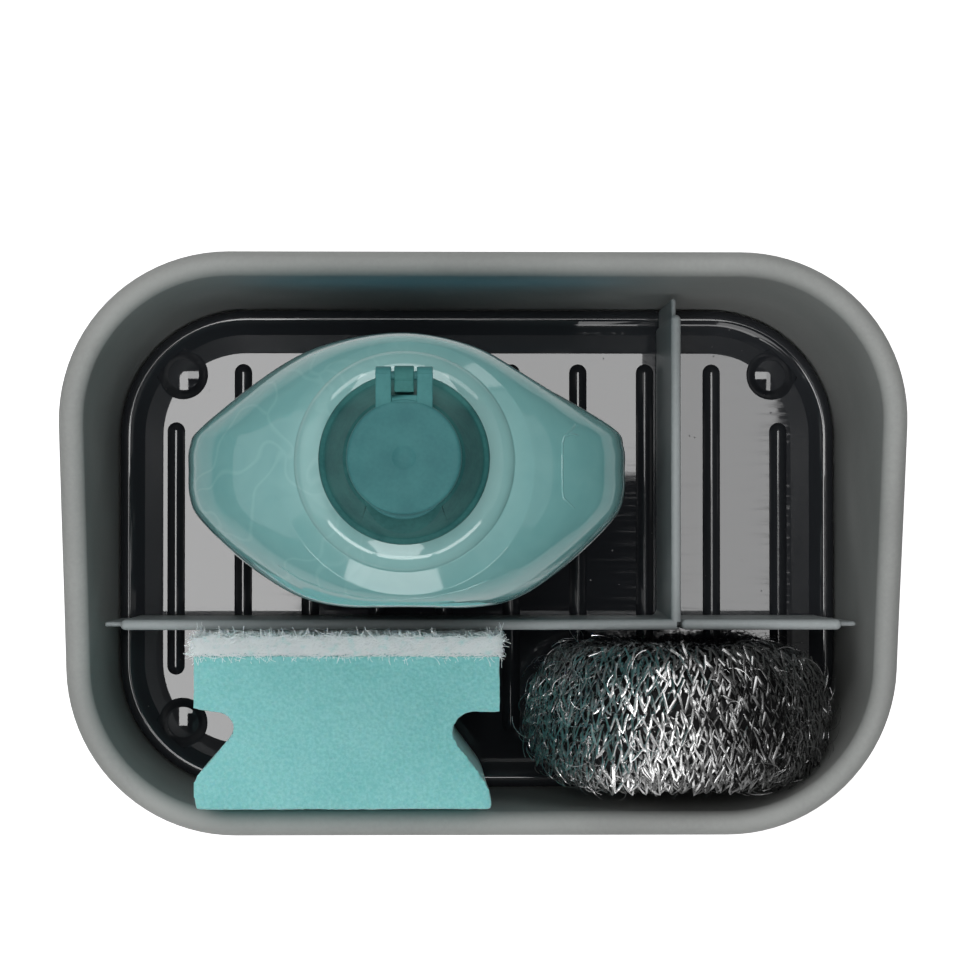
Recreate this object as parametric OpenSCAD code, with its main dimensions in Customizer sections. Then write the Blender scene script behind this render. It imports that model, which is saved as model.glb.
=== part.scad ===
/* [Tub] */
// Width of the tub over its rim
rim_w = 198.6; // [190:0.1:230]
// Depth of the tub over its rim
rim_d = 138; // [134:1:160]
// Plan radius of the rim's outer corners
rim_corner_r = 40; // [34:1:46]
// Height of the rim along the back
rim_back_z = 98; // [88:1:108]
// Height of the rim along the front
rim_front_z = 64; // [60:1:84]
// Width of the rolled rim, seen from above
rim_land = 5.8; // [5:0.1:6.6]
// Height of the rim's half-round top
rim_crown = 3; // [2:0.1:4]
// Depth of the rim's turned-down edge
rim_drop = 7; // [5:0.1:10]
// Thickness of the rim's turned-down edge
rim_edge_t = 1.8; // [1.4:0.1:2.2]
// Thickness of the tub's wall
wall = 2.4; // [1.8:0.1:2.8]
// Thickness of the tub's floor
tub_floor_t = 2.2; // [1.6:0.1:3.2]
// How far each side wall leans out between floor and rim
lean_side = 1.4; // [0.8:0.1:1.8]
// How far the front and back walls lean out between floor and rim
lean_front = 1.6; // [1:0.1:2.2]
// Radius of the tub's bottom edge
tub_edge_r = 4; // [3:0.1:6]

/* [Feet] */
// Radius of a non-slip foot
foot_r = 7; // [5:0.1:10]
// Height of a non-slip foot
foot_h = 1.5; // [1:0.1:3]
// Distance of each foot's centre from the rim's outer edge
foot_inset = 29; // [24:1:34]

/* [Drip tray] */
// Gap between the tray and the tub's walls
tray_gap = 0.4; // [0.3:0.1:0.8]
// Thickness of the tray's sheet
tray_t = 1.6; // [1.2:0.1:2]
// Height at which the tray's cups hold it above the tub's floor
tray_stand = 2.7; // [2:0.1:4]
// Width of the tray's raised lip
lip_w = 6.3; // [5:0.1:7.5]
// Width of the shallow gutter inside the lip
gutter_w = 4.7; // [3:0.1:5.5]
// Depth of the gutter
gutter_depth = 0.25; // [0.15:0.05:0.35]
// Height of the ribs and of the lip above the tray's floor
rib_h = 1.6; // [1.2:0.1:2]
// Width of a rib
rib_w = 4.5; // [3.8:0.1:5.2]
// Number of ribs
rib_count = 10; // [8:2:10]
// Distance of the outermost ribs from the tray's side edges
rib_side_inset = 14.3; // [13.5:0.1:15]
// Distance of the long ribs' ends from the tray's front and back edges
rib_end_inset = 13.8; // [12.5:0.1:15]
// Distance of the two short ribs' ends from the tray's front and back edges
short_rib_inset = 28.8; // [27:0.1:31]
// Radius of a foot cup where it meets the tray's floor
cup_r = 6.4; // [5:0.1:6.6]
// Radius of a foot cup's flat bottom
cup_floor_r = 3.9; // [3:0.1:4.2]
// Distance of a foot cup from the tray's side edge
cup_side_inset = 16; // [15.8:0.1:17.2]
// Distance of a foot cup from the tray's front or back edge
cup_end_inset = 16.5; // [15.8:0.1:17.2]

/* [Dividers] */
// Depth of the front bay, from the tub's front wall to the long panel
front_bay = 42; // [39:0.5:45]
// Width of the side bay, from the tub's right wall to the cross panel
side_bay = 43.8; // [40:0.1:48]
// Height of the dividers above the ribs
divider_h = 50.4; // [44:0.1:54]
// Thickness of the panels that run side to side
panel_t = 2.5; // [2.3:0.1:3]
// Thickness of the cross panel that runs front to back
cross_t = 2.4; // [2:0.1:2.6]
// Thickness of the fins at the panels' ends
fin_t = 1.1; // [0.9:0.1:1.3]
// Length of a fin beyond its panel
fin_len = 4.4; // [3.5:0.1:6]
// How far a fin's top lies below its panel's top
fin_drop = 8; // [5:0.5:15]
// Gap between a fin and the tub's wall
fin_gap = 0.4; // [0.3:0.1:0.8]
// Depth to which the side panel's fin enters the corner divider
groove_depth = 0.9; // [0.7:0.05:1]
// Sliding gap around the fin in its groove
groove_gap = 0.15; // [0.1:0.05:0.25]

/* [Bottle] */
// Height of the bottle's body, up to the neck
body_h = 160; // [150:0.2:166]
// Thickness of the bottle's wall
bottle_wall = 1.2; // [0.9:0.1:1.5]
// Height of the neck
neck_h = 9.6; // [9:0.1:11]
// Radius of the neck
neck_r = 14.4; // [13.6:0.1:14.4]
// Thickness of the neck's wall
neck_wall = 2; // [1.6:0.1:2.2]
// How far the snap bead stands out of the neck
bead_out = 1.3; // [1:0.1:1.3]
// Height of the snap bead
bead_h = 1.4; // [1:0.1:1.6]
// Height of the snap bead's lower side above the body
bead_lift = 1.8; // [1.8:0.1:2.4]
// Gap between the bottle and the long panel
bottle_gap_front = 4.1; // [2:0.1:6]
// Gap between the bottle and the tub's back wall
bottle_gap_back = 14; // [9:0.1:16]
// Gap between the bottle and the cross panel
bottle_gap_side = 14.4; // [9:0.1:18]
// Gap between the bottle and the tub's left wall
bottle_gap_left = 24.6; // [18:0.1:30]
// Distance of the neck's axis behind the middle of the body
neck_back = 1.5; // [0:0.1:2.4]
// Distance of the neck's axis to the left of the body's middle
neck_left = 0.5; // [0:0.1:1]
// Height of the soap above the bottle's base
soap_level = 118; // [60:1:122]

/* [Flip cap] */
// Radius of the cap's skirt
cap_r = 17.7; // [17.5:0.1:18.6]
// Thickness of the cap's skirt
cap_wall = 1.6; // [1.3:0.1:1.7]
// Height of the cap's skirt
skirt_h = 14; // [13:0.1:15]
// Height of the cone above the skirt
cone_h = 10; // [9:0.1:12]
// Radius of the flat seat at the top of the cone
seat_r = 12.4; // [12.2:0.1:13]
// Thickness of the seat
seat_t = 1.7; // [1.4:0.1:2]
// Radius of the lid
lid_r = 11.7; // [11:0.1:11.9]
// Height of the lid
lid_h = 3.4; // [3.2:0.1:4]
// Thickness of the lid's top and side
lid_wall = 1.2; // [1:0.1:1.3]
// Gap between the lid and what it closes on
lid_gap = 0.15; // [0.1:0.05:0.2]
// Outer radius of the spout
spout_r = 2.9; // [2.6:0.1:3.4]
// Radius of the spout's bore
spout_bore_r = 1.5; // [1.4:0.1:1.7]
// Height of the spout above the seat
spout_h = 1.5; // [1.2:0.1:1.7]
// Radial gap between the lid's plug and the spout
plug_gap = 0.25; // [0.2:0.05:0.35]
// Depth to which the lid's plug enters the spout
plug_depth = 0.8; // [0.5:0.1:1]
// Distance of the hinge axis from the cap's centre
hinge_reach = 16.6; // [16.4:0.1:17.2]
// Radius of the lid's hinge pin
hinge_pin_r = 0.9; // [0.8:0.05:1.1]
// Radial running gap between the hinge pin and the knuckle
hinge_play = 0.06; // [0.04:0.01:0.09]
// Radius of the hinge knuckle and of the arms' rounded ends
knuckle_r = 2; // [1.9:0.05:2.2]
// Width of the cap's hinge knuckle
knuckle_w = 4; // [3.6:0.1:5]
// Gap between the knuckle and each of the lid's arms
arm_gap = 0.6; // [0.4:0.05:0.8]
// Width of each of the lid's arms
arm_w = 3.2; // [3:0.1:3.8]
// Distance of the thumb ramp's upper edge from the cap's centre
thumb_start = 9.4; // [9.2:0.1:9.8]
// Slope of the thumb ramp in degrees
thumb_slope = 51; // [49:1:53]
// Depth of the dish in the lid's top
dish_depth = 0.4; // [0.2:0.05:0.5]
// Thickness of the sealing washer
washer_t = 0.8; // [0.6:0.1:1.2]

/* [Sponge] */
// Width of the sponge
sponge_w = 71; // [64:0.5:74]
// Height of the sponge as it stands
sponge_h = 90; // [80:1:98]
// Thickness of the scouring layer
scour_t = 4.3; // [3:0.1:6]
// Depth of the finger grips in the sponge's sides
grip_depth = 10; // [8:0.1:12]
// Gap between the sponge and the long panel
sponge_gap = 0.3; // [0.2:0.05:0.5]
// Gap between the sponge and the tub's front wall, which also clears the rounded corner
sponge_front_gap = 1.4; // [1.2:0.1:2]
// Gap between the sponge and the tub's left wall
sponge_side_gap = 24.7; // [18:0.1:28]

/* [Scourer] */
// Gap between the sponge and the scourer
scourer_gap = 7; // [5:0.5:9]
// Gap between the scourer and the tub's right wall
scourer_side_gap = 5.5; // [4:0.5:9]
// Gap between the scourer and the walls in front of it and behind it
scourer_play = 2.5; // [1.5:0.1:4]
// Depth to which its own weight flattens the scourer's underside
scourer_squash = 2; // [1.5:0.1:3]

/* [Hidden] */

// Heights, from the surface that the caddy stands on
tub_floor_z = foot_h + tub_floor_t;
tray_floor_z = tub_floor_z + tray_stand + tray_t;
rib_top_z = tray_floor_z + rib_h;
divider_top_z = rib_top_z + divider_h;
neck_base_z = rib_top_z + body_h;
neck_top_z = neck_base_z + neck_h;
seal_top_z = neck_top_z + washer_t;
skirt_rise = 1;
skirt_base_z = neck_base_z - skirt_rise;
skirt_top_z = skirt_base_z + skirt_h;
seat_z = skirt_top_z + cone_h;
lid_top_z = seat_z + lid_gap + lid_h;
hinge_z = seat_z + lid_gap + lid_wall;

// Half sizes of the tub's inside at its floor, and of the tray
floor_hw = rim_w / 2 - rim_land - lean_side;
floor_hd = rim_d / 2 - rim_land - lean_front;
floor_corner_r = rim_corner_r - rim_land - (lean_side + lean_front) / 2;
tray_hw = floor_hw - tray_gap;
tray_hd = floor_hd - tray_gap;
tray_corner_r = floor_corner_r - tray_gap;

// Places of the panels and of what stands in the bays
panel_front_y = -floor_hd + front_bay;
panel_y = panel_front_y + panel_t / 2;
cross_right_x = floor_hw - side_bay;
cross_x = cross_right_x - cross_t / 2;
bottle_w = cross_right_x - cross_t - bottle_gap_side + floor_hw - bottle_gap_left;
bottle_d = floor_hd - bottle_gap_back - panel_front_y - panel_t - bottle_gap_front;
bottle_x = cross_right_x - cross_t - bottle_gap_side - bottle_w / 2;
bottle_y = panel_front_y + panel_t + bottle_gap_front + bottle_d / 2;
neck_y = bottle_y + neck_back;
neck_x = bottle_x - neck_left;
sponge_back_y = panel_front_y - sponge_gap;
sponge_front_y = -floor_hd + sponge_front_gap;
sponge_left_x = -floor_hw + sponge_side_gap;
scourer_r = (floor_hw - scourer_side_gap - sponge_left_x - sponge_w - scourer_gap) / 2;
scourer_t = front_bay - 2 * scourer_play;
scourer_x = floor_hw - scourer_side_gap - scourer_r;
scourer_y = (panel_front_y - floor_hd) / 2;

// One overrun serves every cut
cut = 1;

// Counts for the faceted shells and for round shapes
corner_steps = 12;
side_steps = 9;
plan_steps = 3;
$fn = 64;

// Solid through a stack of rings that all have the same number of points, closed at both ends
module loft(rings) {
    n = len(rings[0]);
    last = len(rings) - 1;
    total = n * (last + 1);
    polyhedron(
        points = concat([for (ring = rings) each ring], [middle(rings[0]), middle(rings[last])]),
        faces = concat(
            [for (i = [0:n - 1]) [total, i, (i + 1) % n]],
            [for (j = [0:last - 1], i = [0:n - 1]) [j * n + i, (j + 1) * n + i, (j + 1) * n + (i + 1) % n]],
            [for (j = [0:last - 1], i = [0:n - 1]) [j * n + i, (j + 1) * n + (i + 1) % n, j * n + (i + 1) % n]],
            [for (i = [0:n - 1]) [total + 1, last * n + (i + 1) % n, last * n + i]]
        )
    );
}

// Middle of a ring, where the triangles that close it meet
function middle(ring) = let (n = len(ring), sum = [for (k = [0:n - 1]) 1] * ring) sum / n;

function smooth(t) = let (s = min(1, max(0, t))) s * s * (3 - 2 * s);

// Stations round a rounded rectangle: shares of the corner centre, and the direction outwards
tub_stations = concat(
    [for (i = [0:corner_steps]) [1, 1, 90 * i / corner_steps]],
    [for (i = [0:corner_steps]) [-1, 1, 90 + 90 * i / corner_steps]],
    [for (i = [1:side_steps - 1]) [-1, 1 - 2 * i / side_steps, 180]],
    [for (i = [0:corner_steps]) [-1, -1, 180 + 90 * i / corner_steps]],
    [for (i = [0:corner_steps]) [1, -1, 270 + 90 * i / corner_steps]],
    [for (i = [1:side_steps - 1]) [1, -1 + 2 * i / side_steps, 360]]
);

// The rim falls from back to front between these shares of the tub's half depth
rim_fall_shares = [-1.12, 1.12];
function rim_z(s) =
    let (y = s[1] * (rim_d / 2 - rim_corner_r) + rim_corner_r * sin(s[2]),
        share = (y / (rim_d / 2) - rim_fall_shares[0]) / (rim_fall_shares[1] - rim_fall_shares[0]))
    rim_front_z + (rim_back_z - rim_front_z) * smooth(share);

// One ring of the tub: half width, half depth and corner radius, at a height above the ground
// plus a share of the rim's own height there
function tub_ring(hw, hd, r, z, rim_share) = [for (s = tub_stations)
    [s[0] * (hw - r) + r * cos(s[2]), s[1] * (hd - r) + r * sin(s[2]), z + rim_share * rim_z(s)]];
function rim_ring(inset, z) = tub_ring(rim_w / 2 - inset, rim_d / 2 - inset, rim_corner_r - inset, z, 1);
function floor_ring(outset, z) = tub_ring(floor_hw + outset, floor_hd + outset, floor_corner_r + outset, z, 0);

tub_round_steps = 4;
rim_round_steps = 8;
// The bottom lip of the rim's edge is rounded over this share of the edge's thickness
edge_round_share = 0.25;

module tub() {
    color([0.58, 0.58, 0.57])
    loft(concat(
        [for (i = [0:tub_round_steps]) let (a = 90 * i / tub_round_steps)
            floor_ring(wall - tub_edge_r * (1 - sin(a)), foot_h + tub_edge_r * (1 - cos(a)))],
        [rim_ring(rim_land - wall, -rim_crown),
         rim_ring(rim_edge_t, -rim_crown),
         rim_ring(rim_edge_t, -rim_drop),
         rim_ring(rim_edge_t * edge_round_share, -rim_drop),
         rim_ring(0, -rim_drop + rim_edge_t * edge_round_share)],
        [for (i = [0:rim_round_steps]) let (a = 180 * i / rim_round_steps)
            rim_ring(rim_land / 2 * (1 - cos(a)), -rim_crown * (1 - sin(a)))],
        [for (i = [tub_round_steps:-1:0]) let (a = 90 * i / tub_round_steps, r = tub_edge_r - tub_floor_t / 2)
            floor_ring(-r * (1 - sin(a)), tub_floor_z + r * (1 - cos(a)))]
    ));
}

module foot(side, end) {
    color([0.16, 0.16, 0.17])
    translate([side * (rim_w / 2 - foot_inset), end * (rim_d / 2 - foot_inset), 0])
    cylinder(r = foot_r, h = foot_h);
}

// Rounded rectangle with true arcs
module rounded_rect(hw, hd, r) {
    square([2 * (hw - r), 2 * hd], center = true);
    square([2 * hw, 2 * (hd - r)], center = true);
    for (x = [-1, 1], y = [-1, 1]) translate([x * (hw - r), y * (hd - r)]) circle(r = r);
}

// Sweeps a profile round the edge of a rounded rectangle. The profile is drawn with x running
// outwards from the corner centres and y upwards
module edge_sweep(hw, hd, r) {
    for (q = [0:3]) {
        a = q % 2 == 0 ? hw - r : hd - r;
        b = q % 2 == 0 ? hd - r : hw - r;
        rotate([0, 0, 90 * q]) {
            translate([a, b, 0]) rotate_extrude(angle = 90) children();
            translate([a, b, 0]) rotate([90, 0, 0]) linear_extrude(height = 2 * b) children();
        }
    }
}

// Lip and gutter of the tray: shares of the lip's width inwards, and of the rib's height up
lip_top_shares = [[0, 0], [0.03, 0.3], [0.1, 0.66], [0.2, 0.9], [0.34, 1], [0.46, 0.95], [0.58, 0.8],
    [0.7, 0.55], [0.82, 0.25], [0.92, 0.06]];
lip_under_share = 0.45;
module lip_profile() {
    r = tray_corner_r;
    under = tray_floor_z - tray_t;
    polygon(concat(
        [for (s = lip_top_shares) [r - s[0] * lip_w, tray_floor_z + s[1] * rib_h]],
        [[r - lip_w, tray_floor_z - gutter_depth],
         [r - lip_w - gutter_w, tray_floor_z],
         [r - lip_w - gutter_w, under],
         [r - lip_w, under - gutter_depth],
         [r - lip_w * lip_under_share, under + gutter_depth],
         [r, under + gutter_depth]]
    ));
}

// The ribs' sides rise upright for this share of their height, and their top is an arc
rib_side_share = 0.3;
rib_sagitta = rib_h * (1 - rib_side_share);
rib_r = (rib_sagitta * rib_sagitta + rib_w * rib_w / 4) / (2 * rib_sagitta);
rib_axis_z = rib_top_z - rib_r;
rib_pitch = 2 * (tray_hw - rib_side_inset) / (rib_count - 1);

module rib(half_len) {
    intersection() {
        translate([0, 0, tray_floor_z - tray_t / 2]) linear_extrude(height = tray_t + rib_h) {
            square([rib_w, 2 * half_len - rib_w], center = true);
            for (e = [-1, 1]) translate([0, e * (half_len - rib_w / 2)]) circle(r = rib_w / 2);
        }
        translate([0, 0, rib_axis_z]) rotate([90, 0, 0])
            cylinder(r = rib_r, h = 2 * half_len + 2 * cut, center = true);
    }
}

module foot_cup_places() {
    for (x = [-1, 1], y = [-1, 1])
        translate([x * (tray_hw - cup_side_inset), y * (tray_hd - cup_end_inset), 0]) children();
}

module drip_tray() {
    slope = (cup_r - cup_floor_r) / tray_stand;
    inner_hw = tray_hw - lip_w - gutter_w;
    inner_hd = tray_hd - lip_w - gutter_w;
    inner_r = tray_corner_r - lip_w - gutter_w;
    color([0.05, 0.05, 0.06])
    difference() {
        union() {
            translate([0, 0, tray_floor_z - tray_t])
                linear_extrude(height = tray_t) rounded_rect(inner_hw, inner_hd, inner_r);
            edge_sweep(tray_hw, tray_hd, tray_corner_r) lip_profile();
            for (i = [0:rib_count - 1]) {
                outer = i == 0 || i == rib_count - 1;
                translate([(i - (rib_count - 1) / 2) * rib_pitch, 0, 0])
                    rib(tray_hd - (outer ? short_rib_inset : rib_end_inset));
            }
            foot_cup_places() translate([0, 0, tub_floor_z])
                cylinder(r1 = cup_floor_r + tray_t, r2 = cup_r + tray_t, h = tray_stand + tray_t / 2);
        }
        foot_cup_places() translate([0, 0, tray_floor_z - tray_stand])
            cylinder(r1 = cup_floor_r, r2 = cup_r + slope * cut, h = tray_stand + cut);
    }
}

// Upright panel along +X with round ends and a round top, its middle line on the X axis
module panel(x0, x1, t) {
    straight_h = divider_top_z - t / 2 - rib_top_z;
    translate([x0 + t / 2, -t / 2, rib_top_z]) cube([x1 - x0 - t, t, straight_h]);
    translate([x0 + t / 2, 0, rib_top_z + straight_h])
        rotate([0, 90, 0]) cylinder(r = t / 2, h = x1 - x0 - t);
    for (x = [x0 + t / 2, x1 - t / 2]) {
        translate([x, 0, rib_top_z]) cylinder(r = t / 2, h = straight_h);
        translate([x, 0, rib_top_z + straight_h]) sphere(r = t / 2);
    }
}

module fin(x0, x1) {
    translate([x0, -fin_t / 2, rib_top_z]) cube([x1 - x0, fin_t, divider_h - fin_drop]);
}

fin_tip_x = floor_hw - fin_gap;
panel_end_x = fin_tip_x - fin_len;

module corner_divider() {
    cross_end_y = floor_hd - fin_gap - fin_len;
    color([0.55, 0.56, 0.55])
    difference() {
        union() {
            translate([0, panel_y, 0]) {
                panel(-panel_end_x, cross_right_x, panel_t);
                fin(-fin_tip_x, -panel_end_x + panel_t / 2);
            }
            translate([cross_x, 0, 0]) rotate([0, 0, 90]) {
                panel(panel_y, cross_end_y, cross_t);
                fin(cross_end_y - cross_t / 2, floor_hd - fin_gap);
            }
        }
        translate([cross_right_x - groove_depth - groove_gap, panel_y - fin_t / 2 - groove_gap, rib_top_z - cut])
            cube([panel_t, fin_t + 2 * groove_gap, divider_h + 2 * cut]);
    }
}

module side_divider() {
    color([0.55, 0.56, 0.55])
    translate([0, panel_y, 0]) {
        panel(cross_right_x + groove_gap, panel_end_x, panel_t);
        fin(cross_right_x - groove_depth, cross_right_x + panel_t / 2);
        fin(panel_end_x - panel_t / 2, fin_tip_x);
    }
}

// Bottle body: shares of its height, half width and half depth, then how far its outline has
// turned from the plan below, at 0, into a plain oval, at 1
body_shares = [
    [0, 0.8, 0.78, 0.5], [0.006, 0.85, 0.84, 0.5], [0.02, 0.89, 0.89, 0.5], [0.06, 0.92, 0.93, 0.4],
    [0.25, 0.95, 0.98, 0.2], [0.45, 0.98, 1, 0.05], [0.6, 1, 1, 0], [0.68, 1, 1, 0],
    [0.74, 0.992, 1, 0], [0.79, 0.975, 0.997, 0], [0.82, 0.955, 0.994, 0.05], [0.845, 0.925, 0.99, 0.12],
    [0.87, 0.87, 0.983, 0.3], [0.885, 0.82, 0.976, 0.45], [0.9, 0.76, 0.966, 0.6],
    [0.912, 0.7, 0.952, 0.72], [0.923, 0.635, 0.932, 0.86], [0.93, 0.585, 0.91, 0.94],
    [0.935, 0.55, 0.888, 0.97]
];
// Plan of the body at its widest, from the right end round by the back, as shares of its half width
// and half depth: blunt ends, straight shoulders behind and a full belly in front
plan_shares = [
    [0.985, 0], [0.98, 0.18], [0.92, 0.335], [0.56, 0.665], [0.33, 0.875], [0, 0.99],
    [-0.34, 0.925], [-0.6, 0.735], [-0.92, 0.335], [-0.98, 0.18], [-0.985, 0], [-0.98, -0.18],
    [-0.935, -0.345], [-0.755, -0.635], [-0.52, -0.89], [-0.3, -0.985], [0, -0.99], [0.32, -0.99],
    [0.53, -0.9], [0.755, -0.64], [0.935, -0.345], [0.98, -0.18]
];
// Round shoulder between body and neck: its radius as a share of half the bottle's depth, then
// shares of the body's height, and of the way from the neck's radius to the shoulder's radius
shoulder_share = 0.775;
shoulder_r = bottle_d / 2 * shoulder_share;
shoulder_shares = [[0.942, 1], [0.947, 0.95], [0.952, 0.86], [0.957, 0.72], [0.961, 0.55],
    [0.964, 0.38], [0.968, 0.22], [0.976, 0.09], [0.996, 0.03]];

// Smooth closed curve through the plan's points, at a place counted in points
function plan_at(place) =
    let (n = len(plan_shares), i = floor(place), t = place - i,
        a = plan_shares[(i + n - 1) % n], b = plan_shares[i % n],
        c = plan_shares[(i + 1) % n], d = plan_shares[(i + 2) % n])
    (2 * b + (c - a) * t + (2 * a - 5 * b + 4 * c - d) * t * t + (3 * b - a - 3 * c + d) * t * t * t) / 2;
plan = [for (i = [0:plan_steps * len(plan_shares) - 1]) plan_at(i / plan_steps)];

function outline(row, inset, z) =
    let (hw = bottle_w / 2 * row[1] - inset, hd = bottle_d / 2 * row[2] - inset)
    [for (p = plan) let (q = p * (1 - row[3]) + p / norm(p) * row[3])
        [bottle_x + hw * q[0], bottle_y + hd * q[1], z]];
function neck_circle(r, z) = [for (p = plan) let (q = p / norm(p) * r)
    [neck_x + q[0], neck_y + q[1], z]];
function body_ring(row, inset, z) = outline(row, inset, rib_top_z + z);
function shoulder_ring(row, inset, z) =
    neck_circle(neck_r + (shoulder_r - neck_r) * row[1] - inset, rib_top_z + z);
function neck_ring(r, z) = neck_circle(r, neck_base_z + z);

// Height of an inside ring: the wall's thickness under the outside one, and above the floor
function inside_z(share, gap) = max(bottle_wall + gap, share * body_h - bottle_wall);

bottle_bore_r = neck_r - neck_wall;
module bottle() {
    last_body = len(body_shares) - 1;
    last_shoulder = len(shoulder_shares) - 1;
    color([0.42, 0.62, 0.6, 0.85])
    loft(concat(
        [for (row = body_shares) body_ring(row, 0, row[0] * body_h)],
        [for (row = shoulder_shares) shoulder_ring(row, 0, row[0] * body_h)],
        [neck_ring(neck_r, 0),
         neck_ring(neck_r, bead_lift),
         neck_ring(neck_r + bead_out, bead_lift + bead_out / 4),
         neck_ring(neck_r + bead_out, bead_lift + bead_h / 2),
         neck_ring(neck_r, bead_lift + bead_h),
         neck_ring(neck_r, neck_h),
         neck_ring(bottle_bore_r, neck_h),
         neck_ring(bottle_bore_r, -bottle_wall)],
        [for (i = [last_shoulder - 2:-1:0]) shoulder_ring(shoulder_shares[i], bottle_wall,
            inside_z(shoulder_shares[i][0], 0))],
        [for (i = [last_body:-1:3]) body_ring(body_shares[i], bottle_wall, inside_z(body_shares[i][0], 0))],
        [body_ring(body_shares[2], bottle_wall, bottle_wall + body_shares[1][0] * body_h),
         body_ring(body_shares[0], bottle_wall, bottle_wall)]
    ));
}

// Gap that keeps the soap's solid off the bottle's wall
soap_gap = 0.25;
module soap_fill() {
    inset = bottle_wall + soap_gap;
    level_share = soap_level / body_h;
    wet = [for (row = body_shares) if (row[0] > body_shares[2][0] && row[0] < level_share - body_shares[2][0]) row];
    above = [for (row = body_shares) if (row[0] >= level_share - body_shares[2][0]) row][0];
    below = wet[len(wet) - 1];
    t = (level_share - below[0]) / (above[0] - below[0]);
    color([0.25, 0.55, 0.52])
    loft(concat(
        [body_ring(body_shares[0], inset, inset),
         body_ring(body_shares[2], inset, inset + body_shares[1][0] * body_h)],
        [for (row = wet) body_ring(row, inset, inside_z(row[0], soap_gap))],
        [body_ring(below + (above - below) * t, inset, inside_z(level_share, soap_gap))]
    ));
}

module neck_seal() {
    color([0.9, 0.9, 0.88])
    translate([neck_x, neck_y, neck_top_z])
    difference() {
        cylinder(r = neck_r, h = washer_t);
        translate([0, 0, -cut]) cylinder(r = bottle_bore_r, h = washer_t + 2 * cut);
    }
}

// Rounding of the skirt's top edge, and the cap's inner snap ring, which grips under the bead
skirt_round = 1.2;
skirt_bevel_share = 0.3;
snap_gap = 0.5;
snap_h = 0.9;
cap_bore_r = cap_r - cap_wall;
shelf_t = 1.6;
module cap_profile() {
    snap_z = neck_base_z + bead_lift - snap_gap;
    cone_run = (cap_r - skirt_round - seat_r) / cone_h;
    chamber_r = seat_r - cap_wall;
    polygon([
        [cap_bore_r, skirt_base_z], [cap_r, skirt_base_z], [cap_r, skirt_top_z - skirt_round],
        [cap_r - skirt_round * skirt_bevel_share, skirt_top_z - skirt_round * skirt_bevel_share],
        [cap_r - skirt_round, skirt_top_z],
        [seat_r, seat_z - skirt_round / 2], [seat_r - skirt_round / 2, seat_z],
        [spout_r, seat_z], [spout_r - lid_gap, seat_z + spout_h],
        [spout_bore_r, seat_z + spout_h], [spout_bore_r, seat_z - seat_t],
        [chamber_r, seat_z - seat_t],
        [chamber_r + cone_run * (seat_z - seat_t - seal_top_z - shelf_t), seal_top_z + shelf_t],
        [bottle_bore_r, seal_top_z + shelf_t], [bottle_bore_r, seal_top_z],
        [cap_bore_r, seal_top_z], [cap_bore_r, snap_z],
        [neck_r + snap_gap, snap_z - snap_gap], [neck_r + snap_gap, snap_z - snap_h],
        [cap_bore_r, snap_z - snap_h - snap_gap]
    ]);
}

// The knuckle's web begins behind the lid, and reaches down the cone by this share of its height
web_start = lid_r + 2 * lid_gap;
web_foot_share = 0.45;
web_top_share = 0.4;
module knuckle() {
    web_back = hinge_reach + knuckle_r * web_foot_share;
    web_foot = cone_h * web_foot_share;
    translate([-knuckle_w / 2, hinge_reach, hinge_z]) rotate([0, 90, 0]) cylinder(r = knuckle_r, h = knuckle_w);
    translate([-knuckle_w / 2, web_start, seat_z - web_foot])
        cube([knuckle_w, web_back - web_start, web_foot + hinge_z - seat_z + knuckle_r * web_top_share]);
}

module cap_base() {
    color([0.2, 0.42, 0.41])
    translate([neck_x, neck_y, 0])
    difference() {
        union() {
            rotate_extrude() cap_profile();
            knuckle();
        }
        translate([-knuckle_w / 2 - cut, hinge_reach, hinge_z])
            rotate([0, 90, 0]) cylinder(r = hinge_pin_r + hinge_play, h = knuckle_w + 2 * cut);
        translate([0, -thumb_start, seat_z]) rotate([thumb_slope, 0, 0]) translate([-cap_r, -2 * cone_h, 0])
            cube([2 * cap_r, 2 * cone_h, cap_r]);
    }
}

lip_out = 0.8;
lip_r_share = 0.81;
lip_r = lid_r * lip_r_share;
arm_inner_x = knuckle_w / 2 + arm_gap;
// The lid's arms lie this share of the lid's thickness below its top
arm_drop_share = 0.25;
module flip_lid() {
    bottom_z = seat_z + lid_gap;
    plug_r = spout_bore_r - plug_gap;
    plug_z = seat_z + spout_h - plug_depth;
    arm_top_z = lid_top_z - lid_wall * arm_drop_share;
    arm_z = hinge_z - hinge_pin_r / 2;
    dish_rim_r = 2 * (lid_r - lid_wall) - lid_wall;
    color([0.25, 0.47, 0.46])
    translate([neck_x, neck_y, 0]) {
        difference() {
            union() {
                translate([0, 0, bottom_z]) cylinder(r = lid_r, h = lid_h);
                translate([0, lip_r - lid_r - lip_out, lid_top_z - 2 * lid_wall])
                    cylinder(r = lip_r, h = lid_wall);
                for (x = [-arm_inner_x - arm_w, arm_inner_x]) {
                    translate([x, 0, arm_z]) cube([arm_w, hinge_reach, arm_top_z - arm_z]);
                    translate([x, hinge_reach, hinge_z]) rotate([0, 90, 0]) cylinder(r = knuckle_r, h = arm_w);
                }
            }
            translate([0, 0, bottom_z - cut]) cylinder(r = lid_r - lid_wall, h = lid_h - lid_wall - dish_depth + cut);
            translate([0, 0, lid_top_z - dish_depth]) cylinder(r1 = lid_wall, r2 = dish_rim_r, h = 2 * dish_depth);
        }
        translate([-arm_inner_x - arm_w / 2, hinge_reach, hinge_z])
            rotate([0, 90, 0]) cylinder(r = hinge_pin_r, h = 2 * arm_inner_x + arm_w);
        translate([0, 0, plug_z])
            cylinder(r1 = plug_r - plug_gap, r2 = plug_r, h = lid_top_z - lid_wall - dish_depth / 2 - plug_z);
    }
}

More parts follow.
